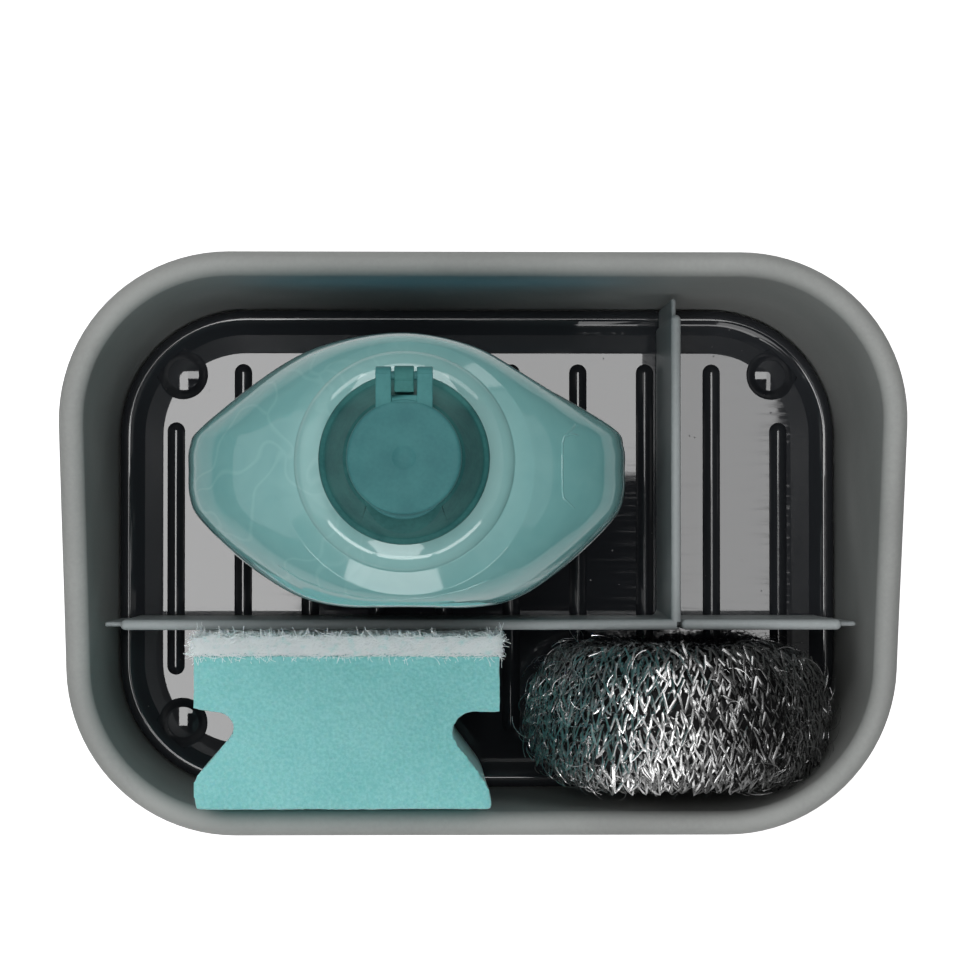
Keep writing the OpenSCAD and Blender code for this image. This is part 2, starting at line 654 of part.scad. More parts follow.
// Outline of the sponge's right half: shares of half its width less the grip's depth, and of its
// thickness from the scouring side
grip_start_share = 0.445;
grip_deep_share = 0.535;
grip_end_share = 0.8;
sponge_toe_share = 0.975;
sponge_t = sponge_back_y - sponge_front_y;
grip_r = 3;
module sponge_outline() {
    half = sponge_w / 2;
    start_y = -grip_start_share * sponge_t;
    deep_y = -grip_deep_share * sponge_t;
    end_y = -grip_end_share * sponge_t;
    difference() {
        translate([-half, -sponge_t]) square([sponge_w, sponge_t]);
        for (side = [-1, 1]) scale_x(side) {
            translate([half - grip_depth + grip_r, start_y - grip_r]) circle(r = grip_r);
            polygon([
                [half - grip_depth + grip_r, start_y], [half + cut, start_y], [half + cut, end_y],
                [half * sponge_toe_share, end_y], [half - grip_depth, deep_y - grip_r / 2],
                [half - grip_depth, start_y - grip_r]
            ]);
            polygon([[half * sponge_toe_share, end_y], [half + cut, end_y], [half + cut, -sponge_t - cut],
                [half * sponge_toe_share, -sponge_t - cut]]);
        }
    }
}
module scale_x(side) {
    if (side > 0) children();
    else mirror([1, 0]) children();
}

module sponge_slice(from, to) {
    translate([sponge_left_x + sponge_w / 2, sponge_back_y, rib_top_z])
    linear_extrude(height = sponge_h)
    intersection() {
        sponge_outline();
        translate([-sponge_w, -to]) square([2 * sponge_w, to - from]);
    }
}

module sponge_foam() {
    color([0.45, 0.75, 0.73]) sponge_slice(scour_t, sponge_t + cut);
}

module scour_pad() {
    color([0.8, 0.86, 0.87]) sponge_slice(-cut, scour_t);
}

// Half section of the scourer: shares of its radius, and of half its thickness
scourer_shares = [[0, 0.5], [0.12, 0.56], [0.25, 0.78], [0.38, 0.94], [0.52, 1], [0.66, 0.93], [0.76, 0.82],
    [0.84, 0.7], [0.9, 0.57], [0.95, 0.42], [0.985, 0.25], [1, 0.08]];
module steel_scourer() {
    last = len(scourer_shares) - 1;
    color([0.62, 0.63, 0.64])
    difference() {
        translate([scourer_x, scourer_y, rib_top_z + scourer_r - scourer_squash])
            rotate([90, 0, 0]) rotate_extrude()
            polygon(concat(
                [for (s = scourer_shares) [s[0] * scourer_r, s[1] * scourer_t / 2]],
                [for (i = [last:-1:0]) [scourer_shares[i][0] * scourer_r, -scourer_shares[i][1] * scourer_t / 2]]
            ));
        translate([scourer_x - scourer_r, scourer_y - scourer_t, rib_top_z - scourer_r])
            cube([2 * scourer_r, 2 * scourer_t, scourer_r]);
    }
}

tub();
foot(-1, -1);  // foot_front_left
foot(1, -1);  // foot_front_right
foot(-1, 1);  // foot_back_left
foot(1, 1);  // foot_back_right
drip_tray();
corner_divider();
side_divider();
bottle();
soap_fill();
neck_seal();
cap_base();
flip_lid();
sponge_foam();
scour_pad();
steel_scourer();
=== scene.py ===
# %% [markdown]
# # A sink caddy with a soap bottle, a sponge and a steel scourer
#
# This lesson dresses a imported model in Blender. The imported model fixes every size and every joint, and
# the cells below give each piece its finished shape and surface. Lengths are written in millimetres and
# turned into metres in one place. X runs to the right, Y to the back and Z up.

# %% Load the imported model
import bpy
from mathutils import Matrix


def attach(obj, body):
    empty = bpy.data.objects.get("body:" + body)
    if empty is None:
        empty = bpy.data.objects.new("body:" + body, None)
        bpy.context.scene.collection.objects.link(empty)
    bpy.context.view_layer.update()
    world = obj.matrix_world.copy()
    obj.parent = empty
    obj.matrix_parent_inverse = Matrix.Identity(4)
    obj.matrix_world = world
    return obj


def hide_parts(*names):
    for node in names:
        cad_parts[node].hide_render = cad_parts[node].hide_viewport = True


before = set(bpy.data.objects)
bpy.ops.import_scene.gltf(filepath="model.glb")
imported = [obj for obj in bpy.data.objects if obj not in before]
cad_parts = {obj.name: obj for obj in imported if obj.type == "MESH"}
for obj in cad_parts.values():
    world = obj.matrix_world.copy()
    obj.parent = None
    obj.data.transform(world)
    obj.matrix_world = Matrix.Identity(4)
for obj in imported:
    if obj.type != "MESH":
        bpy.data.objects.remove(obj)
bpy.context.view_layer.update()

print("packed nodes:", len(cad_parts))

# %% [markdown]
# ## Helpers for shaping
#
# A modeller starts each piece from a primitive, works in edit mode and applies the modifiers at the end.
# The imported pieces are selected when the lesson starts, so each step first deselects everything.
# Many pieces here are stacks of rings: a bottle, a tub and a cap are all drawn out of one circle whose
# edge is extruded ring by ring. A spin would only make round pieces, and the tub and the bottle aren't.

# %% Deselect, settle and draw out rings
import math
import random

import bmesh
import bpy
import numpy as np
from mathutils import Matrix, Vector, noise

MM = 0.001


def deselect():
    if bpy.context.object and bpy.context.object.mode != "OBJECT":
        bpy.ops.object.mode_set(mode="OBJECT")
    bpy.ops.object.select_all(action="DESELECT")


def pick(piece):
    """Makes one piece the only selected and active one."""
    deselect()
    piece.select_set(True)
    bpy.context.view_layer.objects.active = piece


def settle(piece, name):
    """Moves the piece's place into its mesh, so that its object sits at the origin."""
    pick(piece)
    bpy.ops.object.transform_apply(location=True, rotation=True, scale=True)
    piece.name = name
    piece.data.name = name
    return piece


def draw_out(name, rings):
    """Draws a closed piece out of a circle: its edge is extruded once for each further ring."""
    count = len(rings[0])
    deselect()
    bpy.ops.mesh.primitive_circle_add(vertices=count, radius=MM, fill_type="NOTHING")
    piece = bpy.context.object
    bpy.ops.object.mode_set(mode="EDIT")
    bpy.ops.mesh.select_mode(type="VERT")
    bpy.ops.mesh.select_all(action="SELECT")
    current = list(range(count))
    shape = bmesh.from_edit_mesh(piece.data)
    shape.verts.ensure_lookup_table()
    for index, point in zip(current, rings[0]):
        shape.verts[index].co = Vector(point) * MM
    bpy.ops.mesh.edge_face_add()
    shape = bmesh.from_edit_mesh(piece.data)
    for face in shape.faces:
        face.select = False
    for edge in shape.edges:
        edge.select = True
    bmesh.update_edit_mesh(piece.data)
    for ring in rings[1:]:
        bpy.ops.mesh.extrude_edges_move()
        shape = bmesh.from_edit_mesh(piece.data)
        shape.verts.ensure_lookup_table()
        drawn = []
        for index, point in zip(current, ring):
            old = shape.verts[index]
            new = next(e.other_vert(old) for e in old.link_edges if e.other_vert(old).select)
            new.co = Vector(point) * MM
            drawn.append(new.index)
        current = drawn
    bpy.ops.mesh.edge_face_add()
    shape = bmesh.from_edit_mesh(piece.data)
    shape.verts.index_update()
    total = len(shape.verts)
    # Extruding leaves edges and faces in an order that changes from run to run, so they are sorted
    for sides in (shape.edges, shape.faces):
        sides.sort(key=lambda s: min(v.index for v in s.verts) * total + max(v.index for v in s.verts))
    bmesh.update_edit_mesh(piece.data)
    bpy.ops.mesh.select_all(action="SELECT")
    bpy.ops.mesh.normals_make_consistent(inside=False)
    bpy.ops.object.mode_set(mode="OBJECT")
    return settle(piece, name)


def smooth(piece, degrees):
    pick(piece)
    bpy.ops.object.shade_smooth_by_angle(angle=math.radians(degrees))
    return piece


def modify(piece, kind, **settings):
    """Adds a modifier, sets it and applies it."""
    pick(piece)
    step = piece.modifiers.new(kind.title(), kind)
    for key, value in settings.items():
        setattr(step, key, value)
    bpy.ops.object.modifier_apply(modifier=step.name)


def join(pieces, name):
    deselect()
    for piece in pieces:
        piece.select_set(True)
    bpy.context.view_layer.objects.active = pieces[0]
    bpy.ops.object.join()
    return settle(bpy.context.object, name)


def combine(piece, operation, *others):
    """Unites a piece with others or cuts it with them, which uses them up."""
    for other in others:
        modify(piece, "BOOLEAN", object=other, operation=operation, solver="EXACT")
        bpy.data.objects.remove(other)


def tally(piece):
    piece.data.calc_loop_triangles()
    print(piece.name, "has", len(piece.data.loop_triangles), "triangles")


# %% [markdown]
# ## Helpers for finishes
#
# A finish is a small network of nodes. Its maths reads better as Python, so one class wraps a socket and
# turns +, - and * into Math nodes. Colours are mixed with Mix nodes, because a Math node would turn
# them grey. What is the same all over a piece goes straight onto the shader's own sockets, so that the
# finish can be carried to other programs.

# %% Sockets that behave like numbers
class Wire:
    def __init__(self, tree, socket=None):
        self.tree = tree
        self.socket = socket

    def node(self, kind, inputs=None, out=0, **settings):
        """Adds any node: its settings first, then the values and links of its sockets."""
        new = self.tree.nodes.new(kind)
        for key, value in settings.items():
            setattr(new, key, value)
        for key, value in (inputs or {}).items():
            if isinstance(value, Wire):
                self.tree.links.new(value.socket, new.inputs[key])
            else:
                new.inputs[key].default_value = value
        return Wire(self.tree, new.outputs[out])

    def math(self, operation, *values):
        return self.node("ShaderNodeMath", dict(enumerate(values)), operation=operation)

    def __add__(self, other):
        return self.math("ADD", self, other)

    def __mul__(self, other):
        return self.math("MULTIPLY", self, other)

    def __rsub__(self, other):
        return self.math("SUBTRACT", other, self)

    __radd__ = __add__
    __rmul__ = __mul__

    def fade(self, low, high):
        """0 below low, 1 above high, and a smooth step between."""
        return self.node("ShaderNodeMapRange", {"Value": self, "From Min": low, "From Max": high},
                         interpolation_type="SMOOTHSTEP")

    def mix(self, colour_a, colour_b):
        """Colour a where this is 0, colour b where it is 1."""
        return self.node("ShaderNodeMix", {0: self, 6: colour_a, 7: colour_b}, out=2, data_type="RGBA")

    def place(self):
        return self.node("ShaderNodeTexCoord", out="Object")

    def stretched(self, *factors):
        return self.node("ShaderNodeMapping", {"Vector": self.place(), "Scale": factors})

    def noise(self, size, detail=3.0, roughness=0.5, distortion=0.0, where=None, out=0):
        """Soft noise whose lumps are about size millimetres across."""
        return self.node("ShaderNodeTexNoise", {
            "Vector": where or self.place(), "Scale": 1 / (size * MM), "Detail": detail,
            "Roughness": roughness, "Distortion": distortion}, out=out)

    def drifted(self, where, size, reach):
        """A place that coloured noise pushes about, by up to reach metres."""
        push = self.node("ShaderNodeVectorMath", {0: self.noise(size, 1, out="Color"), "Scale": reach},
                         operation="SCALE")
        return self.node("ShaderNodeVectorMath", {0: where, 1: push}, operation="ADD")

    def cells(self, size, feature="F1", where=None):
        return self.node("ShaderNodeTexVoronoi", {"Vector": where or self.place(), "Scale": 1 / (size * MM)},
                         feature=feature)

    def axis(self, name):
        return self.node("ShaderNodeSeparateXYZ", {"Vector": self.place()}, out=name)


def colour(r, g, b):
    """Colour as a screen shows it, 0 to 255, turned into light."""
    return tuple(((v / 255 + 0.055) / 1.055) ** 2.4 if v > 10 else v / 255 / 12.92 for v in (r, g, b)) + (1,)


class Finish:
    """A material whose constants sit on the shader, and whose changing inputs come from wires."""

    def __init__(self, name, **constants):
        self.material = bpy.data.materials.new(name)
        self.material.use_nodes = True
        tree = self.material.node_tree
        self.shader = tree.nodes["Principled BSDF"]
        self.wire = Wire(tree)
        for key, value in constants.items():
            self.shader.inputs[key.replace("_", " ")].default_value = value

    def feed(self, socket, wire):
        self.wire.tree.links.new(wire.socket, self.shader.inputs[socket])

    def relief(self, height, depth, strength=1.0):
        """Bump whose full height is depth millimetres."""
        self.feed("Normal", self.wire.node("ShaderNodeBump", {
            "Height": height, "Strength": strength, "Distance": depth * MM}))

    def put_on(self, *pieces):
        for piece in pieces:
            piece.data.materials.clear()
            piece.data.materials.append(self.material)


def stand_for(piece, body, slot, *nodes):
    """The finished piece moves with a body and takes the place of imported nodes."""
    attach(piece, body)
    if nodes:
        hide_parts(*nodes)
    tally(piece)


# %% [markdown]
# ## Camera
#
# The photograph looks straight down from about 0.88 m. The camera leans by a degree and a half, so that
# the caddy lies a little left of and below the middle of the frame. An aim straight down leaves the
# camera free to turn about its own line of sight, so its three directions are written out: Y is up.

# %% Camera above the caddy
camera_place = Vector((-16.9, 1.9, 880)) * MM
aim = Vector((0.02155, 0.01638, -1)).normalized()
sideways = aim.cross(Vector((0, 1, 0))).normalized()
upwards = sideways.cross(aim).normalized()

camera_data = bpy.data.cameras.new("camera")
camera_data.lens = 125.7
camera_data.sensor_width = 36
camera = bpy.data.objects.new("camera", camera_data)
bpy.context.collection.objects.link(camera)
camera.matrix_world = Matrix.Translation(camera_place) @ Matrix((sideways, upwards, -aim)).transposed().to_4x4()
bpy.context.scene.camera = camera
print("camera height", round(camera_place.z, 3), "m")

# %% [markdown]
# ## Light
#
# The glossy black tray is a mirror: it shows a large softbox overhead, with a dark patch where the camera
# hangs. So the softbox is three lamps that leave that patch free, and a black card above the camera fills
# it. The bottle's shoulder mirrors a second softbox further to the front, and its collar mirrors a halo of
# small lamps, which are brighter in front and to the left. Wide weak lamps at the left, the right and the
# back and the pale surroundings light everything else, and a low black flag at the right keeps that side
# deep. A small teal lamp behind the bottle stands for the light that falls through the soap on to the back
# wall. Together they light a level surface so that its colour comes out about as it is written. The
# surroundings and the floor look white to the camera and through clear plastic, without adding light.

# %% Lamps
def softbox(name, x0, x1, y0, y1, z, glow):
    """Level lamp that faces down, as bright as glow all over."""
    lamp = bpy.data.lights.new(name, "AREA")
    lamp.shape = "RECTANGLE"
    lamp.size = (x1 - x0) * MM
    lamp.size_y = (y1 - y0) * MM
    lamp.energy = glow * math.pi * lamp.size * lamp.size_y
    holder = bpy.data.objects.new(name, lamp)
    bpy.context.collection.objects.link(holder)
    holder.location = Vector(((x0 + x1) / 2, (y0 + y1) / 2, z)) * MM
    return holder


def aimed_lamp(name, place, glow, width, height, way=None):
    """Lamp at its place that shines one way, or else towards the caddy."""
    lamp = softbox(name, -width / 2, width / 2, -height / 2, height / 2, 0, glow)
    lamp.location = Vector(place) * MM
    way = Vector(way) if way else -lamp.location
    lamp.rotation_euler = way.to_track_quat("-Z", "Y").to_euler()
    return lamp


SOFTBOX_Z = 1000
softbox("softbox_left", -205, -76, -150, 150, SOFTBOX_Z, 9.4)
softbox("softbox_back", -76, 123, 39, 150, SOFTBOX_Z, 8.1)
softbox("softbox_right", 123, 184, -150, 150, SOFTBOX_Z, 6.3)
softbox("softbox_front", -265, 110, -860, -340, SOFTBOX_Z, 2.9)
aimed_lamp("lamp_left", (-1150, -60, 950), 0.5, 1300, 1100)
aimed_lamp("lamp_right", (900, 60, 1150), 0.24, 1300, 1300)
aimed_lamp("lamp_back", (-20, 640, 1000), 2.5, 760, 420)
soap_lamp = aimed_lamp("lamp_through_soap", (-10, 49.5, 84), 0.24, 88, 18, (0, 1, -0.25))
soap_lamp.data.color = (0.05, 0.66, 1.0)
soap_lamp.visible_glossy = soap_lamp.visible_transmission = soap_lamp.visible_camera = False

# The halo: place in degrees from the front round by the left, glow and width of each lamp
HALO = ((-36, 3.6, 600), (0, 4.2, 600), (36, 4.2, 600), (144, 2.4, 420), (180, 2.2, 420), (216, 1.6, 420))
HALO_R, HALO_MID, HALO_DEPTH = 980, (-18, 18), 180
for degrees, glow, width in HALO:
    turn = math.radians(degrees)
    place = (HALO_MID[0] - HALO_R * math.sin(turn), HALO_MID[1] - HALO_R * math.cos(turn), SOFTBOX_Z)
    aimed_lamp("halo_%d" % degrees, place, glow, width, HALO_DEPTH)


# %% Surroundings
def seen(wire):
    """1 for what the camera sees, also through clear plastic."""
    return wire.node("ShaderNodeLightPath", out="Is Camera Ray") \
        + wire.node("ShaderNodeLightPath", out="Is Transmission Ray")


AMBIENT, WHITE, MIRRORED = 0.09, 1.0, 0.12
world = bpy.data.worlds.new("surroundings")
bpy.context.scene.world = world
world.use_nodes = True
sky = Wire(world.node_tree)
mirrored = sky.node("ShaderNodeLightPath", out="Is Glossy Ray")
level = AMBIENT + seen(sky) * (WHITE - AMBIENT) + mirrored * (MIRRORED - AMBIENT)
backdrop = world.node_tree.nodes["Background"]
backdrop.inputs["Color"].default_value = (1, 1, 1, 1)
world.node_tree.links.new(level.socket, backdrop.inputs["Strength"])
bpy.context.scene.view_settings.view_transform = "Standard"
print("the surroundings light with", AMBIENT, "and are seen as", WHITE)


# %% Floor, black card and black flag
def stage_sheet(name, finish, width, depth, place=(0, 0, 0), tilt=0):
    """Flat sheet of the stage, tilted about Y by so many degrees."""
    deselect()
    bpy.ops.mesh.primitive_grid_add(x_subdivisions=2, y_subdivisions=2, size=1)
    sheet = bpy.context.object
    sheet.scale = (width * MM, depth * MM, 1)
    sheet.rotation_euler = (0, math.radians(tilt), 0)
    sheet.location = Vector(place) * MM
    finish.put_on(settle(sheet, name))
    return sheet


FLOOR_GLOW = 0.8
pale = Finish("pale_floor", Base_Color=(0.86, 0.86, 0.86, 1), Roughness=0.9, Specular_IOR_Level=0.0,
              Emission_Color=(1, 1, 1, 1))
pale.feed("Emission Strength", seen(pale.wire) * FLOOR_GLOW)
black = Finish("black_card", Base_Color=(0.004, 0.004, 0.004, 1), Roughness=1.0, Specular_IOR_Level=0.0)
floor = stage_sheet("floor", pale, 8000, 8000)
card = stage_sheet("black_card", black, 199, 300, (23.5, -111, SOFTBOX_Z + 1))
flag = stage_sheet("black_flag", black, 500, 1200, (520, 0, 250), 90)
card.visible_camera = flag.visible_camera = False
print("stage:", floor.name, card.name, flag.name)

# %% [markdown]
# ## The tub
#
# The tub is one moulding in matt grey plastic. Its rim is rolled over and slopes down towards the front,
# so its sides can't be a plain extrusion. Each ring is a rounded rectangle, and the rings near the rim
# take their height from a smooth slope from back to front. The rings run from the underside up the
# outside, over the rim and down the inside.

# %% Rounded rectangles and the tub's own sizes
RIM = (99.3, 69.0, 40.0)
RIM_LAND, RIM_CROWN, RIM_DROP, RIM_EDGE = 5.8, 3.0, 7.0, 1.8
RIM_FRONT_Z, RIM_RISE, SLOPE_REACH = 64, 34, 1.12
FLOOR_IN = (92.1, 61.6, 32.7)
WALL, EDGE_R, FLOOR_T = 2.4, 4.0, 2.2
FOOT_H = 1.5
TUB_FLOOR_Z = FOOT_H + FLOOR_T


def smoothstep(t):
    t = min(1, max(0, t))
    return t * t * (3 - 2 * t)


def stations(corner_steps, side_steps):
    """Places round a rounded rectangle: which corner, how far along a side, and the way out."""
    places = []
    for quarter, (sx, sy) in enumerate(((1, 1), (-1, 1), (-1, -1), (1, -1))):
        for i in range(corner_steps + 1):
            places.append((sx, sy, 90 * quarter + 90 * i / corner_steps))
        nx, ny = ((-1, 1), (-1, -1), (1, -1), (1, 1))[quarter]
        for i in range(1, side_steps):
            t = i / side_steps
            places.append((sx + (nx - sx) * t, sy + (ny - sy) * t, 90 * (quarter + 1)))
    return places


def rounded(size, grow, height, places):
    """Ring of a rounded rectangle, grown outwards, at a height that may depend on depth."""
    hw, hd, r = (v + grow for v in size)
    ring = []
    for sx, sy, a in places:
        x = sx * (hw - r) + r * math.cos(math.radians(a))
        y = sy * (hd - r) + r * math.sin(math.radians(a))
        ring.append((x, y, height(sy, a) if callable(height) else height))
    return ring


def rim_height(sy, a):
    y = sy * (RIM[1] - RIM[2]) + RIM[2] * math.sin(math.radians(a))
    return RIM_FRONT_Z + RIM_RISE * smoothstep((y / RIM[1] + SLOPE_REACH) / (2 * SLOPE_REACH))


# %% Draw out the tub
def arc(steps, degrees=90):
    """Angles from 0 up to so many degrees, in even steps."""
    return [math.radians(degrees * i / steps) for i in range(steps + 1)]


def floor_ring(grow, z):
    return rounded(FLOOR_IN, grow, z, tub_places)


def rim_ring(inset, drop):
    return rounded(RIM, -inset, lambda sy, a: rim_height(sy, a) + drop, tub_places)


tub_places = stations(22, 16)
inner_r = EDGE_R - FLOOR_T / 2
tub_rings = [floor_ring(WALL - EDGE_R * (1 - math.sin(a)), FOOT_H + EDGE_R * (1 - math.cos(a))) for a in arc(8)]
tub_rings += [rim_ring(inset, drop) for inset, drop in (
    (RIM_LAND - WALL, -RIM_CROWN), (RIM_EDGE + 0.5, -RIM_CROWN), (RIM_EDGE, -RIM_CROWN - 0.5),
    (RIM_EDGE, -RIM_DROP + 0.4), (RIM_EDGE - 0.4, -RIM_DROP), (0.5, -RIM_DROP), (0, -RIM_DROP + 0.5))]
tub_rings += [rim_ring(RIM_LAND / 2 * (1 - math.cos(a)), -RIM_CROWN * (1 - math.sin(a))) for a in arc(20, 180)]
tub_rings += [floor_ring(-inner_r * (1 - math.sin(a)), TUB_FLOOR_Z + inner_r * (1 - math.cos(a)))
              for a in reversed(arc(8))]
tub = smooth(draw_out("tub_moulding", tub_rings), 40)
print("the tub is drawn out of", len(tub_rings), "rings")

# %% [markdown]
# Matt moulded plastic is never one flat grey. It has a fine spark-eroded grain of about a third of a
# millimetre, faint broad clouding from the flow of the melt, and it is a little smoother where hands
# rub it. The grain is bump, and the rest changes colour and roughness by a few per cent.

# %% Finish of the grey plastic
def grey_plastic(name, shade, roughness):
    made = Finish(name, IOR=1.47, Specular_IOR_Level=0.2)
    w = made.wire
    cloud = w.noise(38, 2)
    speck = w.noise(1.1, 2, 0.6)
    dark = colour(*(v * 0.955 for v in shade))
    light = colour(*(v * 1.035 for v in shade))
    made.feed("Base Color", (cloud * 0.75 + speck * 0.25).fade(0.32, 0.68).mix(dark, light))
    made.feed("Roughness", roughness - 0.06 + 0.12 * w.noise(16, 3))
    made.relief(w.noise(0.33, 2, 0.6) * 0.7 + w.cells(0.45) * 0.3, 0.03, 0.5)
    return made


grey_plastic("tub_grey_matt", (160, 162, 160), 0.46).put_on(tub)
stand_for(tub, "tub", "tub", "tub")

# %% [markdown]
# ## The feet
#
# Four rubber feet keep the tub from sliding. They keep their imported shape, since nothing of it but a
# thin edge is ever seen, and get a dull rubber with a fine scuffed grain.

# %% Finish of the feet
rubber = Finish("foot_rubber", Specular_IOR_Level=0.3)
w = rubber.wire
rubber.feed("Base Color", w.noise(2.5, 4).fade(0.3, 0.7).mix(colour(38, 38, 40), colour(52, 52, 54)))
rubber.feed("Roughness", 0.7 + 0.2 * w.noise(1.2, 3))
rubber.relief(w.noise(0.5, 3), 0.05, 0.6)
rubber.put_on(*(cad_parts["foot_" + end + side] for end in ("front", "back") for side in ("_left", "_right")))
print("feet dressed with", rubber.material.name)

# %% [markdown]
# ## The drip tray
#
# The tray is a thin pressing in glossy black plastic, and it lifts out for draining. It has a rolled lip,
# a shallow gutter, ten ribs that hold things off the wet floor, and a cup in each corner to stand on.
# The sheet is drawn out in rings like the tub. A long rib, a short rib and a cup are modelled once. Their
# copies are united with the sheet by Boolean modifiers, because a mirror finish would betray pieces that
# only touch. A ring just inside the gutter keeps the floor's shading flat, so that it mirrors without waves.

# %% Sheet of the tray
TRAY = (91.7, 61.2, 32.3)
TRAY_Z = 8.0
TRAY_T = 1.6
LIP_W, GUTTER_W, GUTTER_D, RIB_H = 6.3, 4.7, 0.25, 1.6
LIP_SHARES = ((0, -0.35), (0, 0), (0.012, 0.2), (0.04, 0.4), (0.085, 0.6), (0.14, 0.77), (0.21, 0.905),
              (0.28, 0.975), (0.34, 1), (0.4, 0.985), (0.47, 0.93), (0.54, 0.84), (0.61, 0.72), (0.68, 0.57),
              (0.75, 0.41), (0.82, 0.24), (0.88, 0.1), (0.94, -0.02))
tray_places = stations(20, 8)


def tray_ring(inset, z):
    return rounded(TRAY, -inset, z, tray_places)


under = TRAY_Z - TRAY_T
tray_rings = [tray_ring(LIP_W + GUTTER_W, under), tray_ring(LIP_W, under - GUTTER_D),
              tray_ring(LIP_W * 0.45, under + GUTTER_D), tray_ring(0.3, under + GUTTER_D)]
tray_rings += [tray_ring(s * LIP_W, TRAY_Z + h * RIB_H) for s, h in LIP_SHARES]
tray_rings += [tray_ring(LIP_W + GUTTER_W * share, TRAY_Z - GUTTER_D * (1 - share))
               for share in (0, 0.02, 0.3, 0.6, 0.88)]
tray_rings += [tray_ring(LIP_W + GUTTER_W, TRAY_Z), tray_ring(LIP_W + GUTTER_W + 0.3, TRAY_Z)]
tray = draw_out("drip_tray_sheet", tray_rings)
print("tray sheet:", len(tray_rings), "rings")

# %% Ribs and cups
RIBS, RIB_INSET, RIB_ROOT, RIB_FLANK = 10, 14.3, 0.7, 1.55
RIB_HALF_W, RIB_CROWN = 2.25, 0.2
RIB_X = [(i - (RIBS - 1) / 2) * 2 * (TRAY[0] - RIB_INSET) / (RIBS - 1) for i in range(RIBS)]
SHORT_RIB_GAP, LONG_RIB_GAP = 28.8, 13.8
CUP_R, CUP_FLOOR_R, CUP_DEPTH, CUP_DOME = 6.4, 3.9, 2.7, 0.22
CUP_X, CUP_Y = TRAY[0] - 16.0, TRAY[1] - 16.5


def slot_ring(a, b, half, z, steps=16):
    """Slot from point a to point b, as wide as two halves."""
    along = (Vector(b) - Vector(a)).to_2d()
    turn = math.atan2(along.y, along.x)
    ring = []
    for centre, start in ((b, -90), (a, 90)):
        for i in range(steps + 1):
            angle = turn + math.radians(start + 180 * i / steps)
            ring.append((centre[0] + half * math.cos(angle), centre[1] + half * math.sin(angle), z))
    return ring


def rib(half_len):
    """Long bar with a narrow level crown and flanks that steepen towards the floor."""
    end = half_len - RIB_HALF_W
    rows = [(RIB_HALF_W, TRAY_Z - RIB_ROOT), (RIB_HALF_W, TRAY_Z)]
    for i in range(13):
        t = 1 - (i + 0.5) / 13
        rows.append((RIB_CROWN + (RIB_HALF_W - RIB_CROWN) * t, TRAY_Z + RIB_H * (1 - t ** RIB_FLANK)))
    rows += [(RIB_CROWN, TRAY_Z + RIB_H), (RIB_CROWN * 0.5, TRAY_Z + RIB_H)]
    return draw_out("rib", [slot_ring((0, -end), (0, end), half, z) for half, z in rows])


def circle_ring(x, y, r, z, steps):
    return [(x + r * math.cos(2 * math.pi * i / steps), y + r * math.sin(2 * math.pi * i / steps), z)
            for i in range(steps)]


def cup(rows):
    """A stack of circles from rows of radius and height."""
    return draw_out("cup", [circle_ring(0, 0, r, z, 48) for r, z in rows])


def copies(model, places):
    """Uses up a model for copies at its places, each with its own mesh."""
    made = []
    for place in places:
        copy = model.copy()
        copy.data = model.data.copy()
        bpy.context.collection.objects.link(copy)
        copy.location = Vector((*place, 0)) * MM
        made.append(settle(copy, "copy"))
    bpy.data.objects.remove(model)
    return made


cup_floor = TRAY_Z - CUP_DEPTH
outer_rows = [(CUP_FLOOR_R + TRAY_T, cup_floor - TRAY_T), (CUP_R + TRAY_T, TRAY_Z - 0.4)]
hollow_rows = [(r, cup_floor + CUP_DOME * (1 - (r / CUP_FLOOR_R) ** 2)) for r in (0.25, 1.1, 2.0, 2.8, 3.5)]
hollow_rows += [(CUP_FLOOR_R, cup_floor), (4.2, cup_floor + 0.22), (4.55, cup_floor + 0.7), (5.5, TRAY_Z - 0.95),
                (6.0, TRAY_Z - 0.34), (CUP_R, TRAY_Z - 0.06), (CUP_R + 0.25, TRAY_Z + 0.6)]
corners = [(sx * CUP_X, sy * CUP_Y) for sx in (-1, 1) for sy in (-1, 1)]
ribs = copies(rib(TRAY[1] - SHORT_RIB_GAP), [(RIB_X[0], 0), (RIB_X[-1], 0)])
ribs += copies(rib(TRAY[1] - LONG_RIB_GAP), [(x, 0) for x in RIB_X[1:-1]])
combine(tray, "UNION", join(ribs, "ribs"), join(copies(cup(outer_rows), corners), "cup_outsides"))
combine(tray, "DIFFERENCE", join(copies(cup(hollow_rows), corners), "cup_hollows"))
smooth(tray, 29)
print(len(ribs), "ribs, pitch", round(RIB_X[1] - RIB_X[0], 2), "mm")

# %% [markdown]
# A new glossy tray mirrors like lacquer, but not perfectly: fine wiping marks widen its highlights a
# little, and a few specks of dust lie on it. Both are roughness, driven by stretched noise and by the
# smallest cells of a cell pattern.

# %% Finish of the tray
lacquer = Finish("tray_black_gloss", IOR=1.5, Specular_IOR_Level=0.5)
w = lacquer.wire
wiped = w.noise(1.0, 3, where=w.stretched(0.06, 0.9, 1))
dust = 1 - w.cells(5.5).fade(0.02, 0.05)
lacquer.feed("Base Color", dust.mix(colour(46, 48, 52), colour(70, 70, 72)))
lacquer.feed("Roughness", 0.025 + 0.05 * wiped.fade(0.45, 0.75) + 0.35 * dust)
lacquer.relief(w.noise(24, 1) + 0.02 * wiped, 0.04, 0.5)
lacquer.put_on(tray)
stand_for(tray, "tray", "tray", "drip_tray")

# %% [markdown]
# ## The dividers
#
# One divider is a T: a long panel across the tub, and a panel from it to the back wall. The other is a
# short panel that hooks into the first. Each panel is a tall plate with a rounded top and rounded ends,
# which thin out into a fin near the tub's walls. A plate is drawn out of a slot-shaped ring, the plates
# are united, and the inner corner of the T gets a small fillet where the plates flow into each other.

